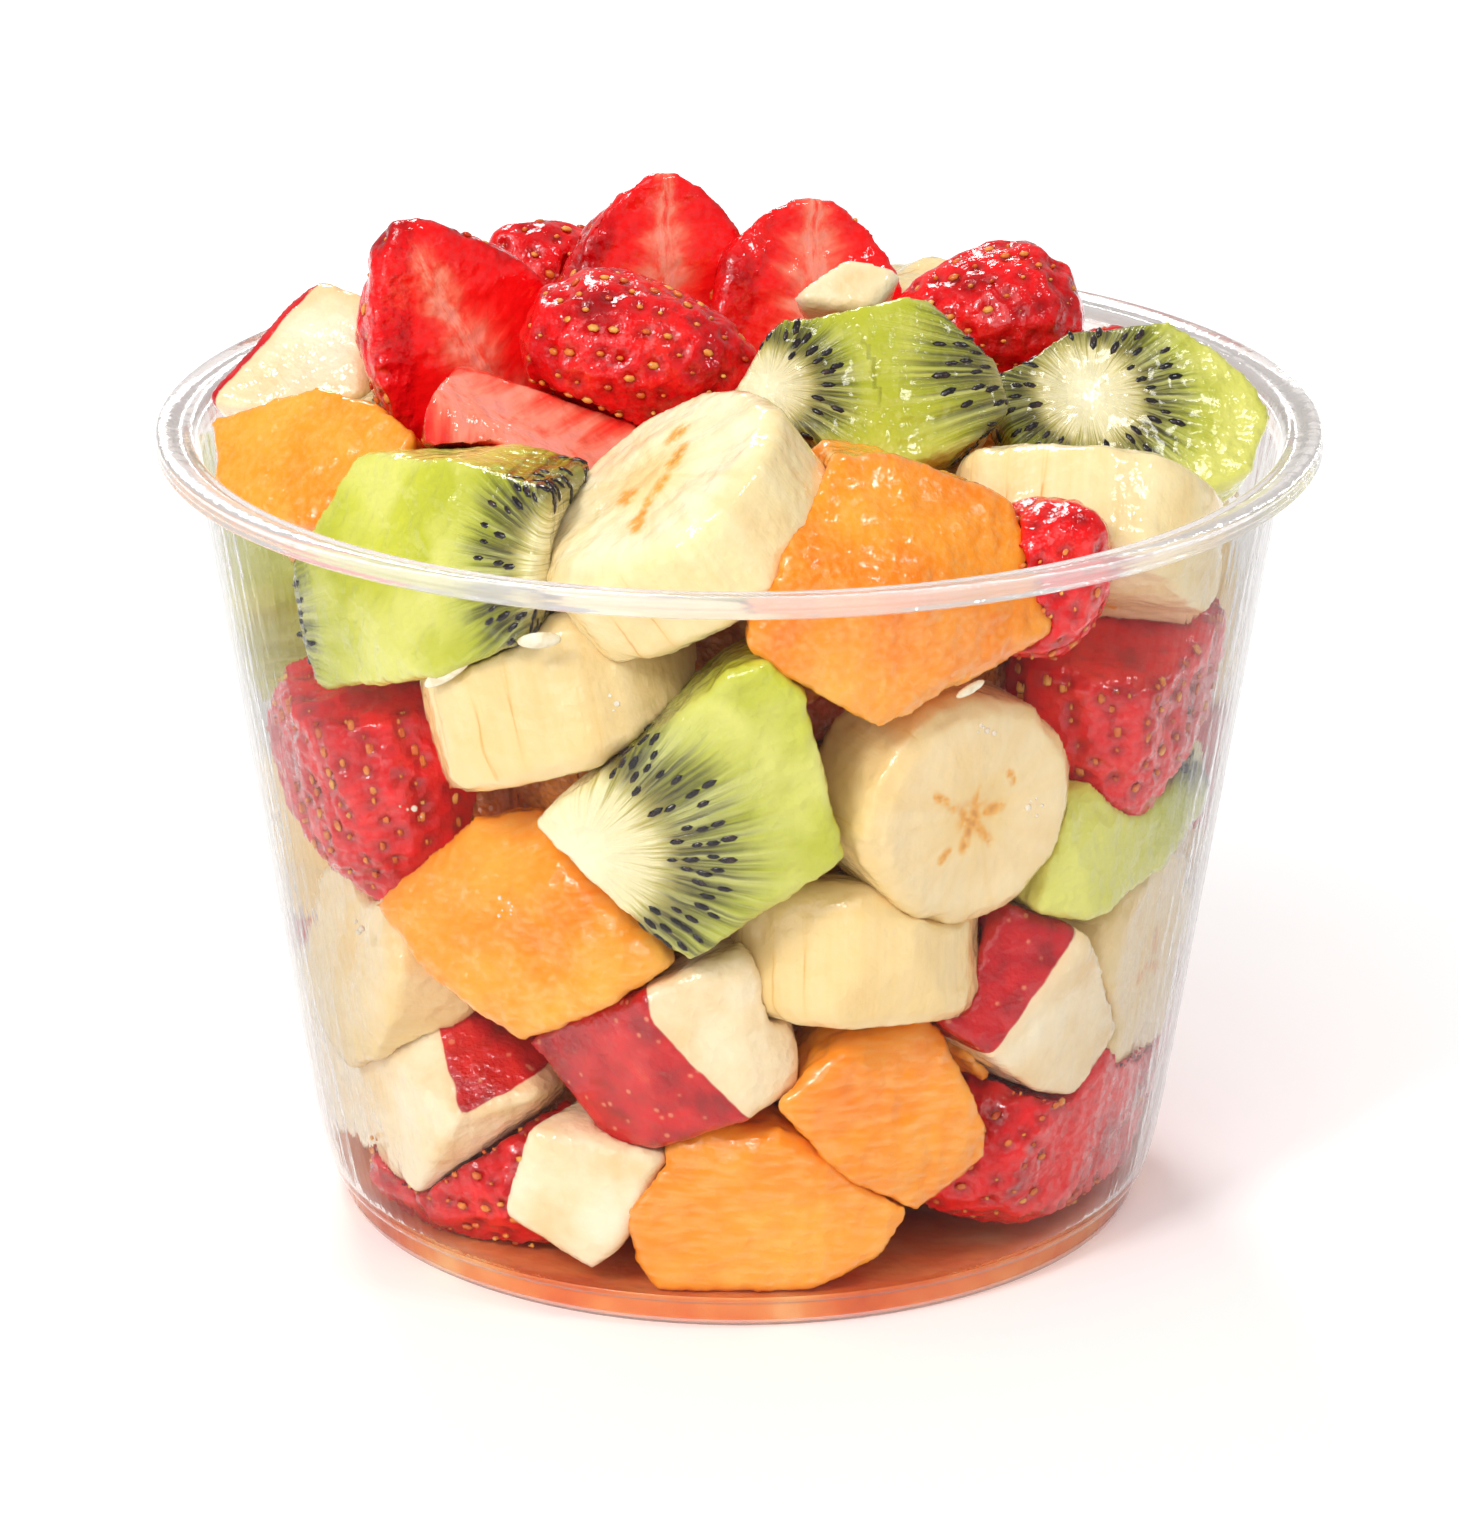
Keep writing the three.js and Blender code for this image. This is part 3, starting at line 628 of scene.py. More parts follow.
berry_seeds = bmesh.new()
for node, (middle, tip, radius, length, cuts) in berries.items():
    behind = "_back_" in node and node != "strawberry_back_left"
    piece = fruit_piece(node, BACK_BERRY_VOXEL if behind else BERRY_VOXEL)
    middle, tip = np.array(Vector(middle)), heading(*tip)
    turn = lying_along(tip)
    planes = [(np.array(heading(azimuth, elevation)), distance)
              for azimuth, elevation, distance in cuts]

    # The skin fills out to the berry's round form, but not the cuts, the shoulder or the tip.
    local = (places_of(piece) - middle) @ turn
    full = berry_radius(local[:, 2] / length + 0.5, radius)
    flat = np.hypot(local[:, 0], local[:, 1])
    on_skin = np.clip((flat / np.maximum(full, 1) - 0.9) / 0.04, 0, 1) * np.clip(
        (0.44 - np.abs(local[:, 2] / length)) / 0.06, 0, 1)
    fill_out(local, full, on_skin, FREE_BERRY if middle[2] > HEAP_FOOT else 1.0)
    at = local @ turn.T + middle
    if node in pressed:
        from_x, top = pressed[node]
        at[:, 2] = np.where(at[:, 0] > from_x, np.minimum(at[:, 2], top), at[:, 2])
    put_at(piece, at)

    at = places_of(piece)
    pits = find_pits(piece, seed_places(radius, length) @ turn.T + middle, middle, planes)
    pit_places = np.array([spot for spot, _ in pits])
    away = np.linalg.norm(at[:, None] - pit_places[None], axis=2).min(axis=1)
    pit_share = np.exp(-(away / PIT_REACH) ** 2)

    # The heart of a cut berry lies just under its first cut face, along the tip's way in it.
    heart_at, heart_turn = middle, turn
    if planes:
        facing, distance = planes[0]
        heart_at = middle + facing * (distance - 0.8)
        in_face = np.array(tip) - facing * (np.array(tip) @ facing)
        heart_turn = lying_along(in_face)
    local = (at - heart_at) @ heart_turn
    rise = local[:, 2] - 0.45 * np.hypot(local[:, 0], local[:, 1])
    heart_width = np.maximum(berry_radius(local[:, 2] / length + 0.5, radius), 3.0)
    heart_width *= pale_hearted.get(node, 1)
    bare = 1 - np.clip((depth_under(at, middle, planes) - 0.3) / 0.5, 0, 1)
    if node in lapped:
        azimuth, elevation, edge = lapped[node]
        past_edge = (at - middle) @ np.array(heading(azimuth, elevation)) - edge
        bare *= 1 - np.clip(past_edge + 0.6 * wobble(at, 4), 0, 1)
    stamp(piece, "grain", np.column_stack([local[:, :2] / heart_width[:, None], rise]))
    stamp(piece, "cut", bare)
    # The dimples' painted shade, read by the skin's colour.
    stamp(piece, "pit_shade", pit_share * (1 - bare))
    push_out(piece, relief(at, (0.35, 6), (0.08, 1.2)) - PIT_DEPTH * pit_share)
    piece.data.materials.append(strawberry_flesh)
    for spot, normal in pits:
        along = tip.cross(normal).cross(normal)
        if along.length > 0.1:
            size = 0.75 + 0.35 * math.sin(spot.x * 7.3 + spot.z * 5.1)
            add_seed(berry_seeds, spot - normal * (PIT_DEPTH * 0.85), along, normal,
                     (0.6 * size, 0.38 * size, 0.26))
seeds = shown_piece("strawberry_seeds", berry_seeds)
seeds.data.materials.append(golden_seed)
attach(seeds, "root")

# ---- Kiwi fruit ----
# Peeled green kiwi, cut across and then into wedges. A cream core, a ring of small black
# seeds and pale spokes run through the flesh, so they show wherever the knife has gone.
VOXEL = 0.5
SWELL = 0.15  # makes up for what the easing takes off a piece
RINGS_OUT = 3.0  # how many seed rings out from the core the flesh's colours run
SEED_RING = 1.02  # where the seeds lie, as a share of the way from the core to their ring
SEED_GAP = 1.2
SEEDS_KEPT = 0.75

# Each: the cores that its faces show, as (a point on the core, azimuth and elevation, how far
# from the core the ring of seeds lies).
kiwis = {
    "kiwi_front": [((-15.2, -46.9, 52.5), (-14, -9), 11.5)],
    "kiwi_top_right": [((34.3, -9.9, 86.5), (20, 42), 7.4)],
    "kiwi_top_centre": [((2.7, -21.6, 90.7), (-20, 30), 5.4), ((34.5, -16, 90.4), (60, 20), 8.6)],
    "kiwi_left": [((-16, -51.4, 81.6), (-20, 10), 9), ((-47.9, -18.4, 65.8), (-70, 0), 9)],
    "kiwi_right": [((62, -28, 52), (56, -9), 5)],
    "kiwi_back_13": [((-2, 45, 17), (183, -9), 8)],
    "kiwi_back_24": [((-37, 34, 41), (223, -9), 9)],
    "kiwi_back_35": [((-52, 12, 60), (256, -9), 8)],
    "kiwi_back_top_5": [((-44, -2, 90), (271, 60), 8)],
}

kiwi_flesh, tree, shader, place = new_finish(
    "kiwi_flesh", specular_ior_level=0.45, subsurface_weight=0.15, subsurface_scale=0.003,
    subsurface_radius=(1.0, 1.0, 0.3), coat_weight=0.4, coat_roughness=0.08)
reach = stamped(tree, "reach", "Fac")
streak, _ = streaks(tree, stamped(tree, "grain"), 9.0, 0.4)
fine_streak, _ = streaks(tree, stamped(tree, "grain"), 24.0, 0.9)
clear_of_seam = spread(tree, reach, 1.9, 1.4)
ragged = calc(tree, "ADD", reach, calc(tree, "MULTIPLY", clear_of_seam,
                                       spread(tree, fine_streak, 0, 1, -0.2, 0.2)))
flesh = bands(tree, calc(tree, "DIVIDE", ragged, RINGS_OUT), [
    (0.0, (248, 240, 204)), (0.19, (246, 234, 180)), (0.26, (194, 180, 98)),
    (0.32, (122, 116, 48)), (0.41, (138, 140, 42)), (0.52, (178, 182, 46)),
    (0.8, (204, 205, 62)), (1.0, (218, 216, 98))])
patchy = noise_of(tree, place, 0.11, 2.0)
outer = spread(tree, reach, 1.3, 1.9)
flesh = mixed(tree, calc(tree, "MULTIPLY", spread(tree, patchy, 0.42, 0.62), outer), flesh,
              colour(222, 220, 112))
pale_spokes = calc(tree, "MULTIPLY", spread(tree, streak, 0.45, 0.9, 0.0, 0.6), clear_of_seam)
flesh = mixed(tree, calc(tree, "MULTIPLY", pale_spokes, spread(tree, reach, 0.6, 0.95)), flesh,
              colour(224, 222, 140))
in_ring = calc(tree, "MULTIPLY", spread(tree, reach, 0.68, 0.86),
               spread(tree, reach, 1.6, 1.1))
dark_spokes = calc(tree, "MULTIPLY", spread(tree, fine_streak, 0.62, 0.2), in_ring)
flesh = mixed(tree, calc(tree, "MULTIPLY", dark_spokes, 0.85), flesh, colour(46, 44, 22))
wet = juicy(tree, shader, place, 0.9, 0.06, 0.16)
off_core = spread(tree, reach, 0.15, 0.6, 0.0, 0.6)
ribs = calc(tree, "MULTIPLY", calc(tree, "MULTIPLY", fine_streak, clear_of_seam), off_core)
surface(tree, shader, flesh, calc(tree, "ADD", wet, ribs), 0.25)

black_seed = seed_finish("black_seed", (0.7, 2.0), [
    (0.3, (16, 10, 12)), (0.6, (38, 26, 28)), (0.75, (70, 50, 44))],
    (3.0, 0.12, 0.3), 0.05)


def from_core(at, frames):
    """Places as seen from the nearest core, as shares of its ring, and which core."""
    seen = np.array([(at - point) @ turn for point, turn in frames])
    nearest = np.argmin(np.linalg.norm(seen[:, :, :2], axis=2), axis=0)
    return seen[nearest, np.arange(len(at))], nearest


dice = np.random.default_rng(7)
kiwi_seeds = bmesh.new()
for node, cores in kiwis.items():
    piece = fruit_piece(node, VOXEL)
    at = places_of(piece)
    push_out(piece, SWELL + relief(at, (0.2, 7), (0.12, 2.2), (0.06, 0.9)))
    frames = [(np.array(point), lying_along(heading(*way)) / ring)
              for point, way, ring in cores]
    local, _ = from_core(at, frames)
    stamp(piece, "grain", local)
    stamp(piece, "reach", np.hypot(local[:, 0], local[:, 1]))
    piece.data.materials.append(kiwi_flesh)

    spots = read_rows(piece.data.polygons, "center") / MM
    normals = read_rows(piece.data.polygons, "normal")
    local, nearest = from_core(spots, frames)
    far = np.hypot(local[:, 0], local[:, 1])
    likely = np.abs(far - SEED_RING) < 0.06 + 0.26 * dice.random(len(far)) ** 2
    set_seeds = np.empty((0, 3))
    for face in dice.permutation(np.flatnonzero(likely)):
        spot, normal = spots[face], normals[face]
        if np.any(np.linalg.norm(set_seeds - spot, axis=1) < SEED_GAP):
            continue
        set_seeds = np.vstack([set_seeds, spot])
        from_axis = frames[nearest[face]][1] @ np.append(local[face][:2], 0)
        along = from_axis - normal * from_axis.dot(normal)
        in_face = np.linalg.norm(along) / np.linalg.norm(from_axis)
        if in_face > 0.3 and dice.random() < SEEDS_KEPT:
            size = 0.75 + 0.4 * dice.random()
            add_seed(kiwi_seeds, Vector(spot - normal * 0.08), Vector(along), Vector(normal),
                     (0.92 * size, 0.38 * size, 0.26))
seeds = shown_piece("kiwi_seeds", kiwi_seeds)
seeds.data.materials.append(black_seed)
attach(seeds, "root")

# ---- Banana slices ----
# Peeled banana cut into thick rounds. The cut face is cream with brown marks about its
# middle; the side keeps the lengthwise ridges that the peel leaves.
FLATNESS = 0.96  # how wide a slice is in one direction against the other
LOOSE_HEIGHT = 45  # a slice with its middle above this height fills out more
LOOSE_SLICE, HELD_SLICE = 1.06, 1.02  # the most that a slice fills out
CORE_MARKS = (0.4, 2.4, 4.6)  # angles of the marks on a slice without strokes of its own

# Each: middle, azimuth and elevation of its axis, radius and thickness.
bananas = {
    "banana_top_front": ((-5, -40, 83), (-71, 54), 13.6, 11.5),
    "banana_front": ((19.3, -36.8, 54.7), (34, -4), 12.1, 12),
    "banana_left_side": ((-16, -33.5, 64), (-145, 68), 14, 15),
    "banana_low_front": ((11, -34, 39), (176, 82), 12.2, 14),
    "banana_far_right": ((36, -16.5, 31), (64, -6), 12, 11),
    "banana_far_left": ((-34, -19, 31.5), (-66, 12), 11.5, 11),
    "banana_top_right": ((33.5, -23, 75.6), (172, 50), 13, 12),
    "banana_back_14": ((-23.4, 25.5, 16.7), (235.5, 6.4), 13.5, 13.5),
    "banana_back_25": ((-36.2, 8, 39.5), (245.6, -6), 15, 15),
    "banana_back_31": ((39.7, 7.2, 62.8), (101.6, 0.7), 15.5, 15.5),
    "banana_back_top_2": ((19.2, 30.4, 75.4), (146.3, -0.7), 12.5, 12.5),
}

# Brown strokes where the slice's own core shows, as (start, end, half width).
stroked = {
    "banana_far_left": [((-46, -22, 36), (-45, -24, 38), 0.4)],
    "banana_top_front": [
        ((-10.9, -41.2, 86), (-10.2, -42.2, 86), 1.0),
        ((-9.7, -46.8, 85.3), (-9.2, -48.2, 84.6), 0.9),
        ((-9.2, -46.3, 86), (-8.6, -44.6, 87), 0.75),
        ((-6.1, -37, 90.1), (-5.3, -36.2, 90.8), 0.9),
        ((-6.2, -41.6, 89), (-5.2, -39.8, 90), 0.9), ((-7.9, -44.2, 87.4), (-7, -43.2, 88), 0.8)],
    "banana_front": [
        ((22, -42.2, 54), (22.4, -42, 54.6), 1.5), ((22, -42.2, 54), (18.6, -44.8, 57.3), 0.45),
        ((22, -42.2, 54), (24.9, -40.2, 54.7), 0.6), ((22, -42.2, 54), (21.3, -42.4, 51.2), 0.6),
        ((22, -42.2, 54), (24.1, -40.8, 51), 0.5), ((22, -42.2, 54), (22.5, -41.7, 57.4), 0.4),
        ((19.2, -44, 50.4), (19.8, -43.6, 51.2), 0.5), ((25.6, -40, 58), (26, -39.6, 57), 0.4)],
}


def nearness(at, strokes):
    """How near each place is to a stroke: 1 on it, falling off over its width."""
    nearest = np.zeros(len(at))
    for start, end, width in strokes:
        start, run = np.array(start), np.array(end) - np.array(start)
        share = np.clip((at - start) @ run / (run @ run), 0, 1)
        away = np.linalg.norm(at - start - share[:, None] * run, axis=1)
        nearest = np.maximum(nearest, np.exp(-(away / width) ** 2))
    return nearest


def core_strokes(middle, turn, radius, thickness):
    """Three short marks about the core on each of a slice's faces."""
    strokes = []
    for face in (-1, 1):
        face_middle = np.array([0, 0, face * thickness / 2])
        for angle in CORE_MARKS:
            arm = np.array([math.cos(angle) * radius, math.sin(angle) * radius, 0])
            strokes.append((middle + turn @ (face_middle + 0.1 * arm),
                            middle + turn @ (face_middle + 0.27 * arm), 0.6))
    return strokes


banana_flesh, tree, shader, place = new_finish(
    "banana_flesh", specular_ior_level=0.45, subsurface_weight=0.15, subsurface_scale=0.004,
    subsurface_radius=(1.0, 0.75, 0.4), coat_weight=0.35, coat_roughness=0.1)
on_face = stamped(tree, "face", "Fac")
streak, out = streaks(tree, stamped(tree, "grain"), 5.0, 0.03)
fine_streak, _ = streaks(tree, stamped(tree, "grain"), 7.0, 0.04)
face_tone = bands(tree, out, [
    (0.0, (240, 206, 138)), (0.22, (248, 222, 162)), (0.4, (252, 235, 190)),
    (0.75, (253, 240, 204)), (0.95, (250, 231, 180))])
face_tone = tinted(tree, face_tone, colour(242, 208, 142), streak, 0.3, 0.8, 0.35)
flecks = noise_of(tree, place, 0.9, 3.0, 0.6)
brown = calc(tree, "MULTIPLY", stamped(tree, "stroke", "Fac"),
             spread(tree, flecks, 0.3, 0.56, 0.3, 1.15))
side_tone = bands(tree, fine_streak, [
    (0.0, (224, 172, 96)), (0.07, (244, 212, 148)), (0.22, (248, 222, 162)),
    (1.0, (251, 231, 180))])
tone = mixed(tree, on_face, side_tone, face_tone)
mottle = noise_of(tree, place, 0.2, 3.0)
tone = tinted(tree, tone, colour(234, 196, 126), mottle, 0.45, 0.75, 0.45)
height = wire(tree, "SeparateXYZ", {"Vector": place}).outputs["Z"]
# Painted shade and bounce light: the slices turn darker and more golden the lower they lie in the
# cup.
tone = tinted(tree, tone, colour(236, 196, 126), height, 84, 60, 0.5)
tone = tinted(tree, tone, colour(236, 164, 56), brown, 0.15, 0.7, 0.9)
tone = tinted(tree, tone, colour(186, 112, 40), brown, 0.8, 1.1, 0.5)
wet = juicy(tree, shader, place, 0.6, 0.06, 0.18)
ridges = calc(tree, "MULTIPLY", calc(tree, "SUBTRACT", 1.0, on_face), fine_streak)
height = calc(tree, "ADD", wet, calc(tree, "MULTIPLY", ridges, 0.4))
surface(tree, shader, tone, height, 0.16)

for node, (middle, axis, radius, thickness) in bananas.items():
    piece = fruit_piece(node, VOXEL)
    middle = np.array(middle)
    turn = np.array(Vector((0, 0, 1)).rotation_difference(heading(*axis)).to_matrix())

    # The side fills out to a round with five soft corners, a little smaller at both faces.
    local = (places_of(piece) - middle) @ turn
    angle = np.arctan2(local[:, 1] / FLATNESS, local[:, 0])
    full = radius * (1 + 0.025 * np.cos(5 * angle))
    full *= np.hypot(np.cos(angle), FLATNESS * np.sin(angle))
    full *= 1 - 0.08 * np.clip((np.abs(local[:, 2]) / thickness * 2 - 0.7) / 0.3, 0, 1) ** 1.5
    flat = np.hypot(local[:, 0], local[:, 1])
    on_side = np.clip((flat / full - 0.93) / 0.03, 0, 1) * np.clip(
        (thickness / 2 - 0.4 - np.abs(local[:, 2])) / 0.5, 0, 1)
    fill_out(local, full, on_side, LOOSE_SLICE if middle[2] > LOOSE_HEIGHT else HELD_SLICE)
    put_at(piece, local @ turn.T + middle)

    at = places_of(piece)
    local[:, :2] /= radius
    out = np.hypot(local[:, 0], local[:, 1])
    past_edge = np.abs(local[:, 2]) - thickness / 2 + 1.1 - np.clip((out - 0.9) * 8, 0, None)
    on_face = np.clip(past_edge / 0.8 + 0.5, 0, 1)
    round_way = local / np.maximum(out, 0.05)[:, None]
    round_way[:, 2] = local[:, 2] * 0.02
    ridges = wobble(round_way, 0.9, 5)
    strokes = stroked.get(node) or core_strokes(middle, turn, radius, thickness)
    stamp(piece, "grain", local)
    stamp(piece, "face", on_face)
    stamp(piece, "stroke", nearness(at, strokes))
    push_out(piece, SWELL + 0.3 * (1 - on_face) * ridges + relief(at, (0.2, 6), (0.05, 1)))
    piece.data.materials.append(banana_flesh)

# ---- Orange melon ----
# Ripe orange-fleshed melon without its rind, cut into rough cubes. Where the knife crossed
# the fibres the flesh is stringy and wet, and elsewhere it is smooth.
melon_flesh, tree, shader, place = new_finish(
    "melon_flesh", specular_ior_level=0.35, subsurface_weight=0.2, subsurface_scale=0.004,
    subsurface_radius=(1.0, 0.45, 0.15), coat_roughness=0.06)
grain = stamped(tree, "grain")
strings = wire(tree, "Mapping", {"Vector": grain, "Scale": (0.2, 1.4, 1.4)}).outputs[0]
stringy = noise_of(tree, strings, 1.0, 4.0, 0.65)
tone = bands(tree, noise_of(tree, place, 0.09, 3.0), [
    (0.3, (244, 128, 20)), (0.5, (251, 151, 36)), (0.7, (255, 172, 60))])
# Lighter along the strings: paler fibres, and partly a painted highlight on their wet ridges.
tone = tinted(tree, tone, colour(255, 198, 106), stringy, 0.42, 0.72, 0.35)
film = spread(tree, stringy, 0.44, 0.58, 0.1, 0.9)
tree.links.new(film, shader.inputs["Coat Weight"])
wet = juicy(tree, shader, place, 0.6, 0.05, 0.14)
height = calc(tree, "ADD", wet, calc(tree, "MULTIPLY", stringy, 0.5))
surface(tree, shader, tone, height, 0.16)

for node in sorted(name for name in nodes if name.startswith("melon_")):
    piece = fruit_piece(node, VOXEL)
    at = places_of(piece)
    push_out(piece, SWELL + relief(at, (0.2, 8), (0.14, 2.4), (0.09, 1.1)))
    stamp(piece, "grain", at @ lying_along(dice.normal(size=3)))
    piece.data.materials.append(melon_flesh)

# ---- Apple ----
# Crisp apple cut into chunks, most with the red skin left on one side. The flesh is pale
# cream, the skin glossy and dotted.
NO_SKIN = -9.0  # a depth further from the skin than any chunk reaches

# Each: the skin's edges as (a point, the next point, a point on the skin's side), whether the
# skin lies inside all of them or any of them, and the way that this part of the chunk faces.
apples = {
    "apple_left": ([((-36.4, -27.8, 30.3), (-27.3, -34.7, 20.1), (-23.3, -39.4, 30.4)),
                    ((-27.3, -34.7, 20.1), (-18.4, -41.1, 25.6), (-23.3, -39.4, 30.4))],
                   np.min, (-36, -9)),
    "apple_front": ([((-9.4, -46, 37.6), (-8.2, -45.7, 34.2), (-16, -44, 32)),
                     ((-8.2, -45.7, 34.2), (1, -44.8, 24), (-10, -45, 24))], np.max, (-8, -9)),
    "apple_right": ([((33.1, -33.5, 38.8), (24.6, -38.3, 28.5), (22, -40, 36))],
                    np.min, (38, -9)),
    "apple_top_left": ([((-41.6, 5.6, 94), (-52.2, -0.4, 83.4), (-60, 6, 96))],
                       np.min, (-15, 40)),
    "apple_back_15": ([((-44, 2, 20), (-44, 6, 8), (-44, 12, 14))], np.min, (270, -9)),
    "apple_back_21": ([((48, 4, 38), (46, 14, 44), (46, 8, 52))], np.min, (100, -9)),
    "apple_back_32": ([((34, 40, 58), (28, 44, 70), (40, 36, 66))], np.min, (142, -9)),
    "apple_back_top_4": ([((-36, 34, 92), (-30, 38, 84), (-40, 26, 84))], np.min, (228, 40)),
    "apple_sliver": ([], np.min, (0, 0)),
    "apple_peeled": ([], np.min, (0, 0)),
}

apple_flesh, tree, shader, place = new_finish(
    "apple_flesh", specular_ior_level=0.4, subsurface_weight=0.1, subsurface_scale=0.004,
    subsurface_radius=(1.0, 0.8, 0.45), coat_weight=0.35, coat_roughness=0.07)
wander = spread(tree, noise_of(tree, place, 0.35, 2.0), 0, 1, -0.35, 0.35)
skin_side = calc(tree, "ADD", stamped(tree, "skin", "Fac"), wander)
on_skin = spread(tree, skin_side, -0.08, 0.08)
mottle = noise_of(tree, place, 0.16, 3.0)
pulp = bands(tree, mottle, [
    (0.3, (240, 208, 154)), (0.5, (249, 226, 184)), (0.7, (252, 236, 204))])
pulp = tinted(tree, pulp, colour(246, 206, 160), skin_side, -1.2, 0.0, 0.6)
skin = bands(tree, noise_of(tree, place, 0.25, 4.0, 0.6), [
    (0.3, (140, 8, 16)), (0.48, (190, 16, 26)), (0.66, (218, 30, 34)),
    (0.85, (228, 70, 50))])
dots = wire(tree, "TexVoronoi", {"Vector": place, "Scale": 0.55}).outputs["Distance"]
skin = tinted(tree, skin, colour(240, 150, 110), dots, 0.2, 0.1, 0.6)
wet = juicy(tree, shader, place, 0.8, 0.04, 0.14)
wrinkles = calc(tree, "MULTIPLY", noise_of(tree, place, 1.5, 2.0), on_skin)
tone = mixed(tree, on_skin, pulp, skin)
surface(tree, shader, tone, calc(tree, "ADD", wet, wrinkles), 0.2)

for node, (edges, joined, facing) in apples.items():
    piece = fruit_piece(node, VOXEL)
    at = places_of(piece)
    push_out(piece, SWELL + relief(at, (0.15, 8), (0.07, 2)))
    depths = []
    for start, end, within in edges:
        start, end = Vector(start), Vector(end)
        across = (end - start).cross(heading(*facing)).normalized()
        if across.dot(Vector(within) - start) < 0:
            across.negate()
        depths.append((at - np.array(start)) @ np.array(across))
    stamp(piece, "skin", joined(depths, axis=0) if depths else np.full(len(at), NO_SKIN))
    piece.data.materials.append(apple_flesh)

# ---- Stray seeds and bubbles ----
# Three pale melon seeds that stuck to the wall, and the small air bubbles that sit against the
# wall where juice fills the gaps between the chunks.
BUBBLE_CLUSTERS = 22
BUBBLE_DEPTH = 2.4  # how much room behind the wall a bubble needs
BUBBLE_INSET = 0.25
CLUSTER_SPREAD = 0.8
LOWEST_BUBBLE, HIGHEST_BUBBLE = 8, 74

# Each: place, the way it lies, and its half length, half width and half height.
stray_seeds = [
    ((-18.8, -48.2, 74.1), (1, 0.1, 0.02), (2.1, 0.85, 0.5)),
    ((-27.7, -42.9, 69.1), (0.9, -0.5, 0.75), (3.2, 0.8, 0.4)),
    ((21.7, -46, 68.5), (0.8, 0.5, 0.3), (1.7, 0.5, 0.4)),
]

pale_husk = seed_finish("pale_husk", (0.8, 3.0), [
    (0.3, (226, 204, 160)), (0.5, (246, 234, 204)), (0.75, (252, 246, 226))],
    (2.0, 0.12, 0.3), 0.08)

husk_form = ball_form("husk_form", 16, 10)
husks = bmesh.new()
for spot, along, size in stray_seeds:
    spot = Vector(spot)
    outward = Vector((spot.x, spot.y, -WALL_SLOPE * math.hypot(spot.x, spot.y))).normalized()
    add_seed(husks, spot, Vector(along), outward, size, husk_form)
husks = shown_piece("stray_melon_seeds", husks)
husks.data.materials.append(pale_husk)
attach(husks, "root")

air_bubble, tree, shader, place = new_finish("air_bubble", transmission_weight=0.3, ior=1.2)
tone = mixed(tree, noise_of(tree, place, 0.4), colour(246, 226, 196), colour(255, 250, 240))
surface(tree, shader, tone, juicy(tree, shader, place, 2.5, 0.03, 0.12), 0.03)

solids = bmesh.new()
for node in nodes.values():
    if node.name not in ("cup", "juice"):
        solids.from_mesh(node.data)
fruit_near = BVHTree.FromBMesh(solids)
solids.free()
bubbles = bmesh.new()
placed = 0
while placed < BUBBLE_CLUSTERS:
    azimuth, height = dice.uniform(-180, 180), dice.uniform(LOWEST_BUBBLE, HIGHEST_BUBBLE)
    radius = outer_radius(height) - WALL - BUBBLE_INSET
    middle = heading(azimuth, 0) * radius + Vector((0, 0, height))
    if fruit_near.find_nearest(middle * MM)[3] < BUBBLE_DEPTH * MM:
        continue
    placed += 1
    for _ in range(dice.integers(3, 9)):
        size = 0.12 + 0.28 * dice.random() ** 2
        rise = dice.normal() * CLUSTER_SPREAD
        way = azimuth + math.degrees(dice.normal() * CLUSTER_SPREAD / radius)
        spot = heading(way, 0) * (outer_radius(height + rise) - WALL - size)
        spot.z = height + rise
        add_seed(bubbles, spot, Vector((0, 0, 1)), heading(way, 0), (size, size, size * 0.8))
bubbles = shown_piece("air_bubbles", bubbles)
bubbles.data.materials.append(air_bubble)
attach(bubbles, "root")

# ---- Floor, light and camera ----
# A plain white table, a broad soft light from the upper left with two smaller lamps that give
# the wet fruit its glints, and an even white surround.
TABLE_HALF_WIDTH = 4
TABLE_GAP = 0.0002  # keeps the table's top just under the foot ring
CUP_MIDDLE = Vector((0, 0, 0.05))
AIM = Vector((-0.00099, 0, 0.04436))
CAMERA_DISTANCE = 0.7
CAMERA_RISE = 19.9
FOCAL_LENGTH = 162.05
SENSOR_WIDTH = 36

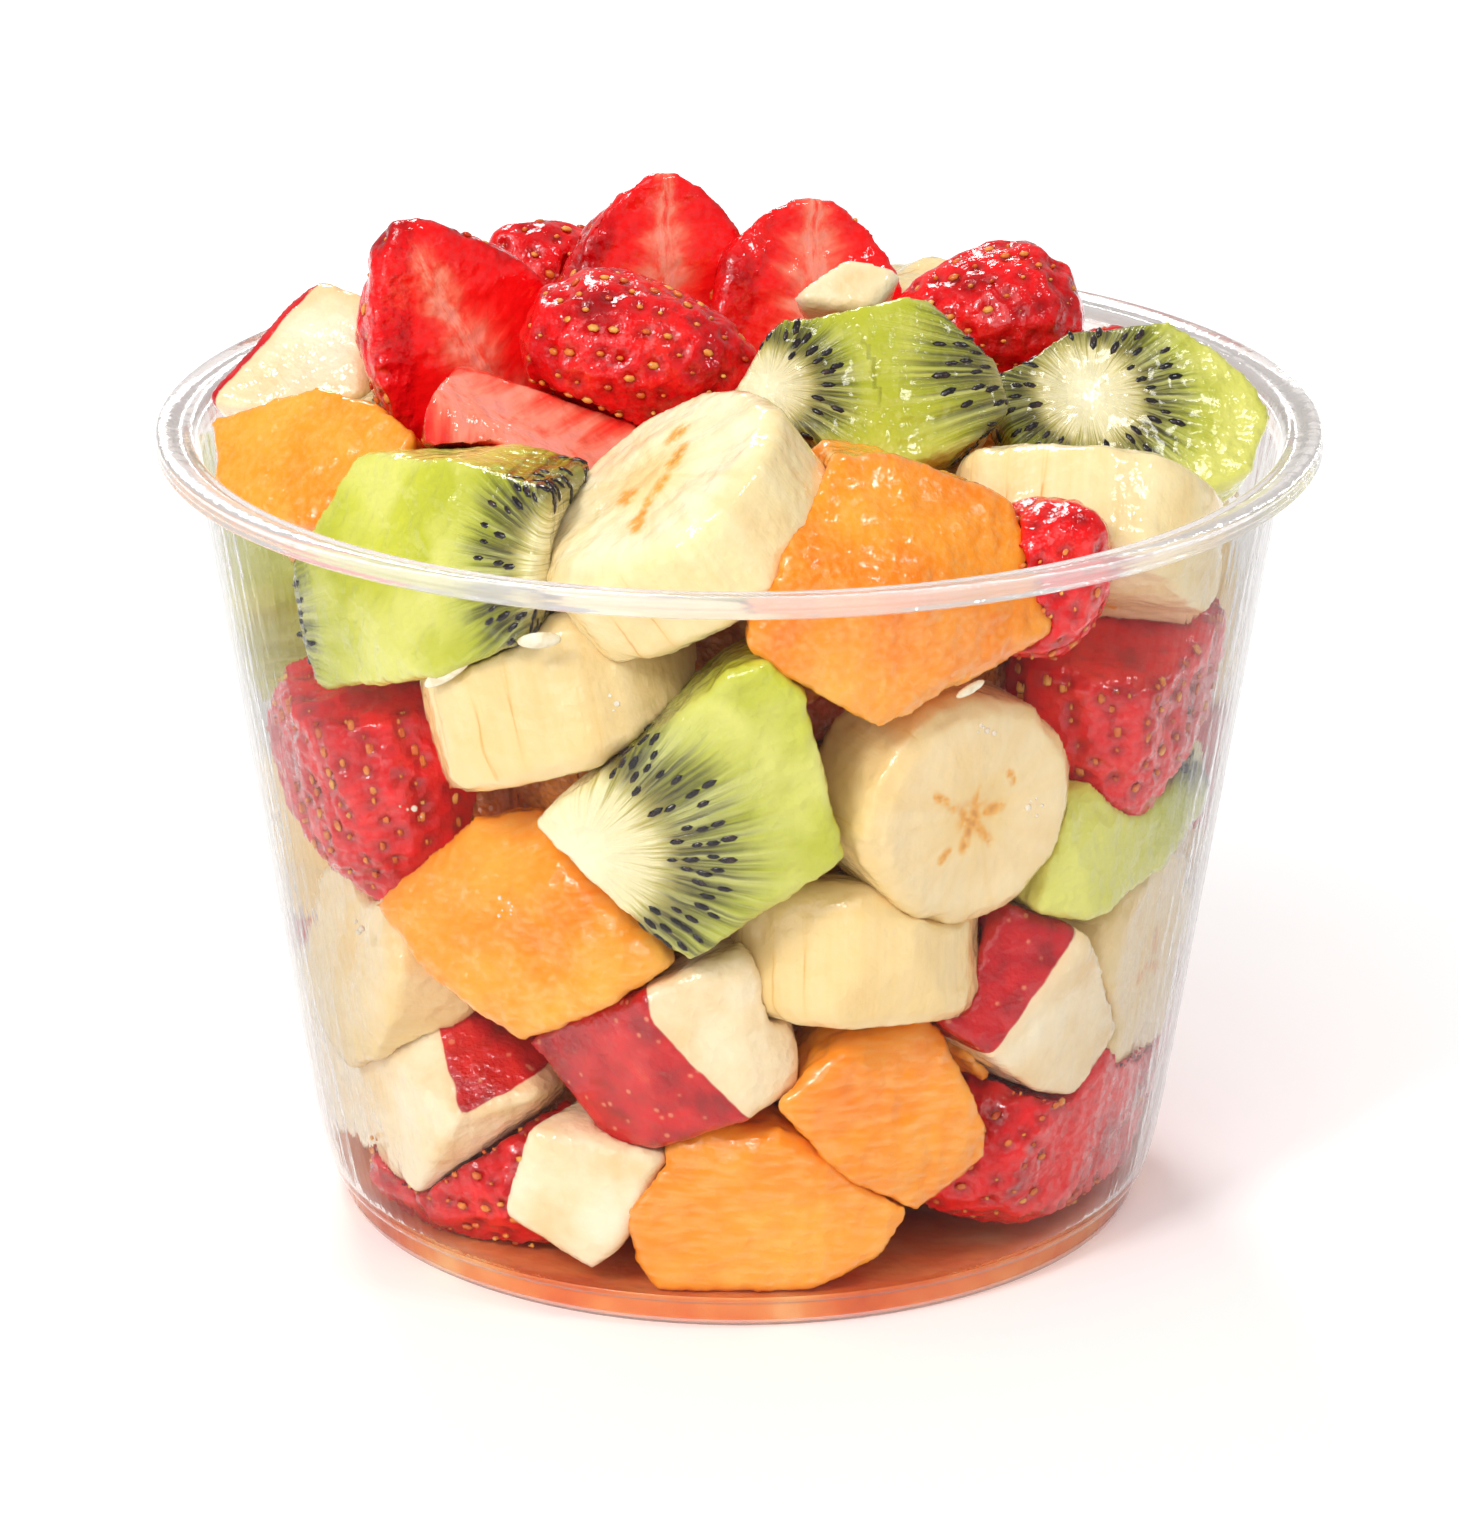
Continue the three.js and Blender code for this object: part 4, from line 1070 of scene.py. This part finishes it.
table_top = bmesh.new()
bmesh.ops.create_grid(table_top, x_segments=1, y_segments=1, size=TABLE_HALF_WIDTH,
                      matrix=Matrix.Translation((0, 0, -TABLE_GAP)))
floor = shown_piece("floor", table_top)
pale_table, tree, shader, place = new_finish(
    "pale_table", roughness=0.9, specular_ior_level=0.1, emission_strength=0.09)
faint = noise_of(tree, place, 0.01)
tree.links.new(mixed(tree, faint, colour(251, 251, 251), colour(254, 254, 254)),
               shader.inputs["Base Color"])
floor.data.materials.append(pale_table)

world = bpy.data.worlds.new("white_surround")
bpy.context.scene.world = world
world.use_nodes = True
surround = world.node_tree.nodes["Background"]
surround.inputs["Color"].default_value = (1, 1, 1, 1)
surround.inputs["Strength"].default_value = 0.4


def turned_to_cup(light, place):
    """Puts a light into the scene, facing the cup."""
    light.location = place
    inward = CUP_MIDDLE - light.location
    light.rotation_euler = inward.to_track_quat("-Z", "Y").to_euler()
    bpy.context.scene.collection.objects.link(light)


def soft_box(name, place, size, power):
    """A square lamp."""
    lamp = bpy.data.lights.new(name, "AREA")
    lamp.size = size
    lamp.energy = power
    turned_to_cup(bpy.data.objects.new(name, lamp), place)


broad = bpy.data.lights.new("broad_light", "SUN")
broad.energy = 1.16
broad.angle = math.radians(55)
turned_to_cup(bpy.data.objects.new("broad_light", broad), heading(-28, 40) * 1.5)
soft_box("left_lamp", (-0.5, -0.7, 0.75), 0.2, 4.0)
soft_box("right_lamp", (0.5, -0.35, 0.9), 0.14, 1.6)
soft_box("back_lamp", (-0.15, 0.62, 0.7), 0.26, 3.6)

lens = bpy.data.cameras.new("camera")
lens.lens = FOCAL_LENGTH
lens.sensor_width = SENSOR_WIDTH
camera = bpy.data.objects.new("camera", lens)
camera.location = AIM + heading(0, CAMERA_RISE) * CAMERA_DISTANCE
camera.rotation_euler = (AIM - camera.location).to_track_quat("-Z", "Y").to_euler()
bpy.context.scene.collection.objects.link(camera)
bpy.context.scene.camera = camera
bpy.context.scene.view_settings.view_transform = "Standard"
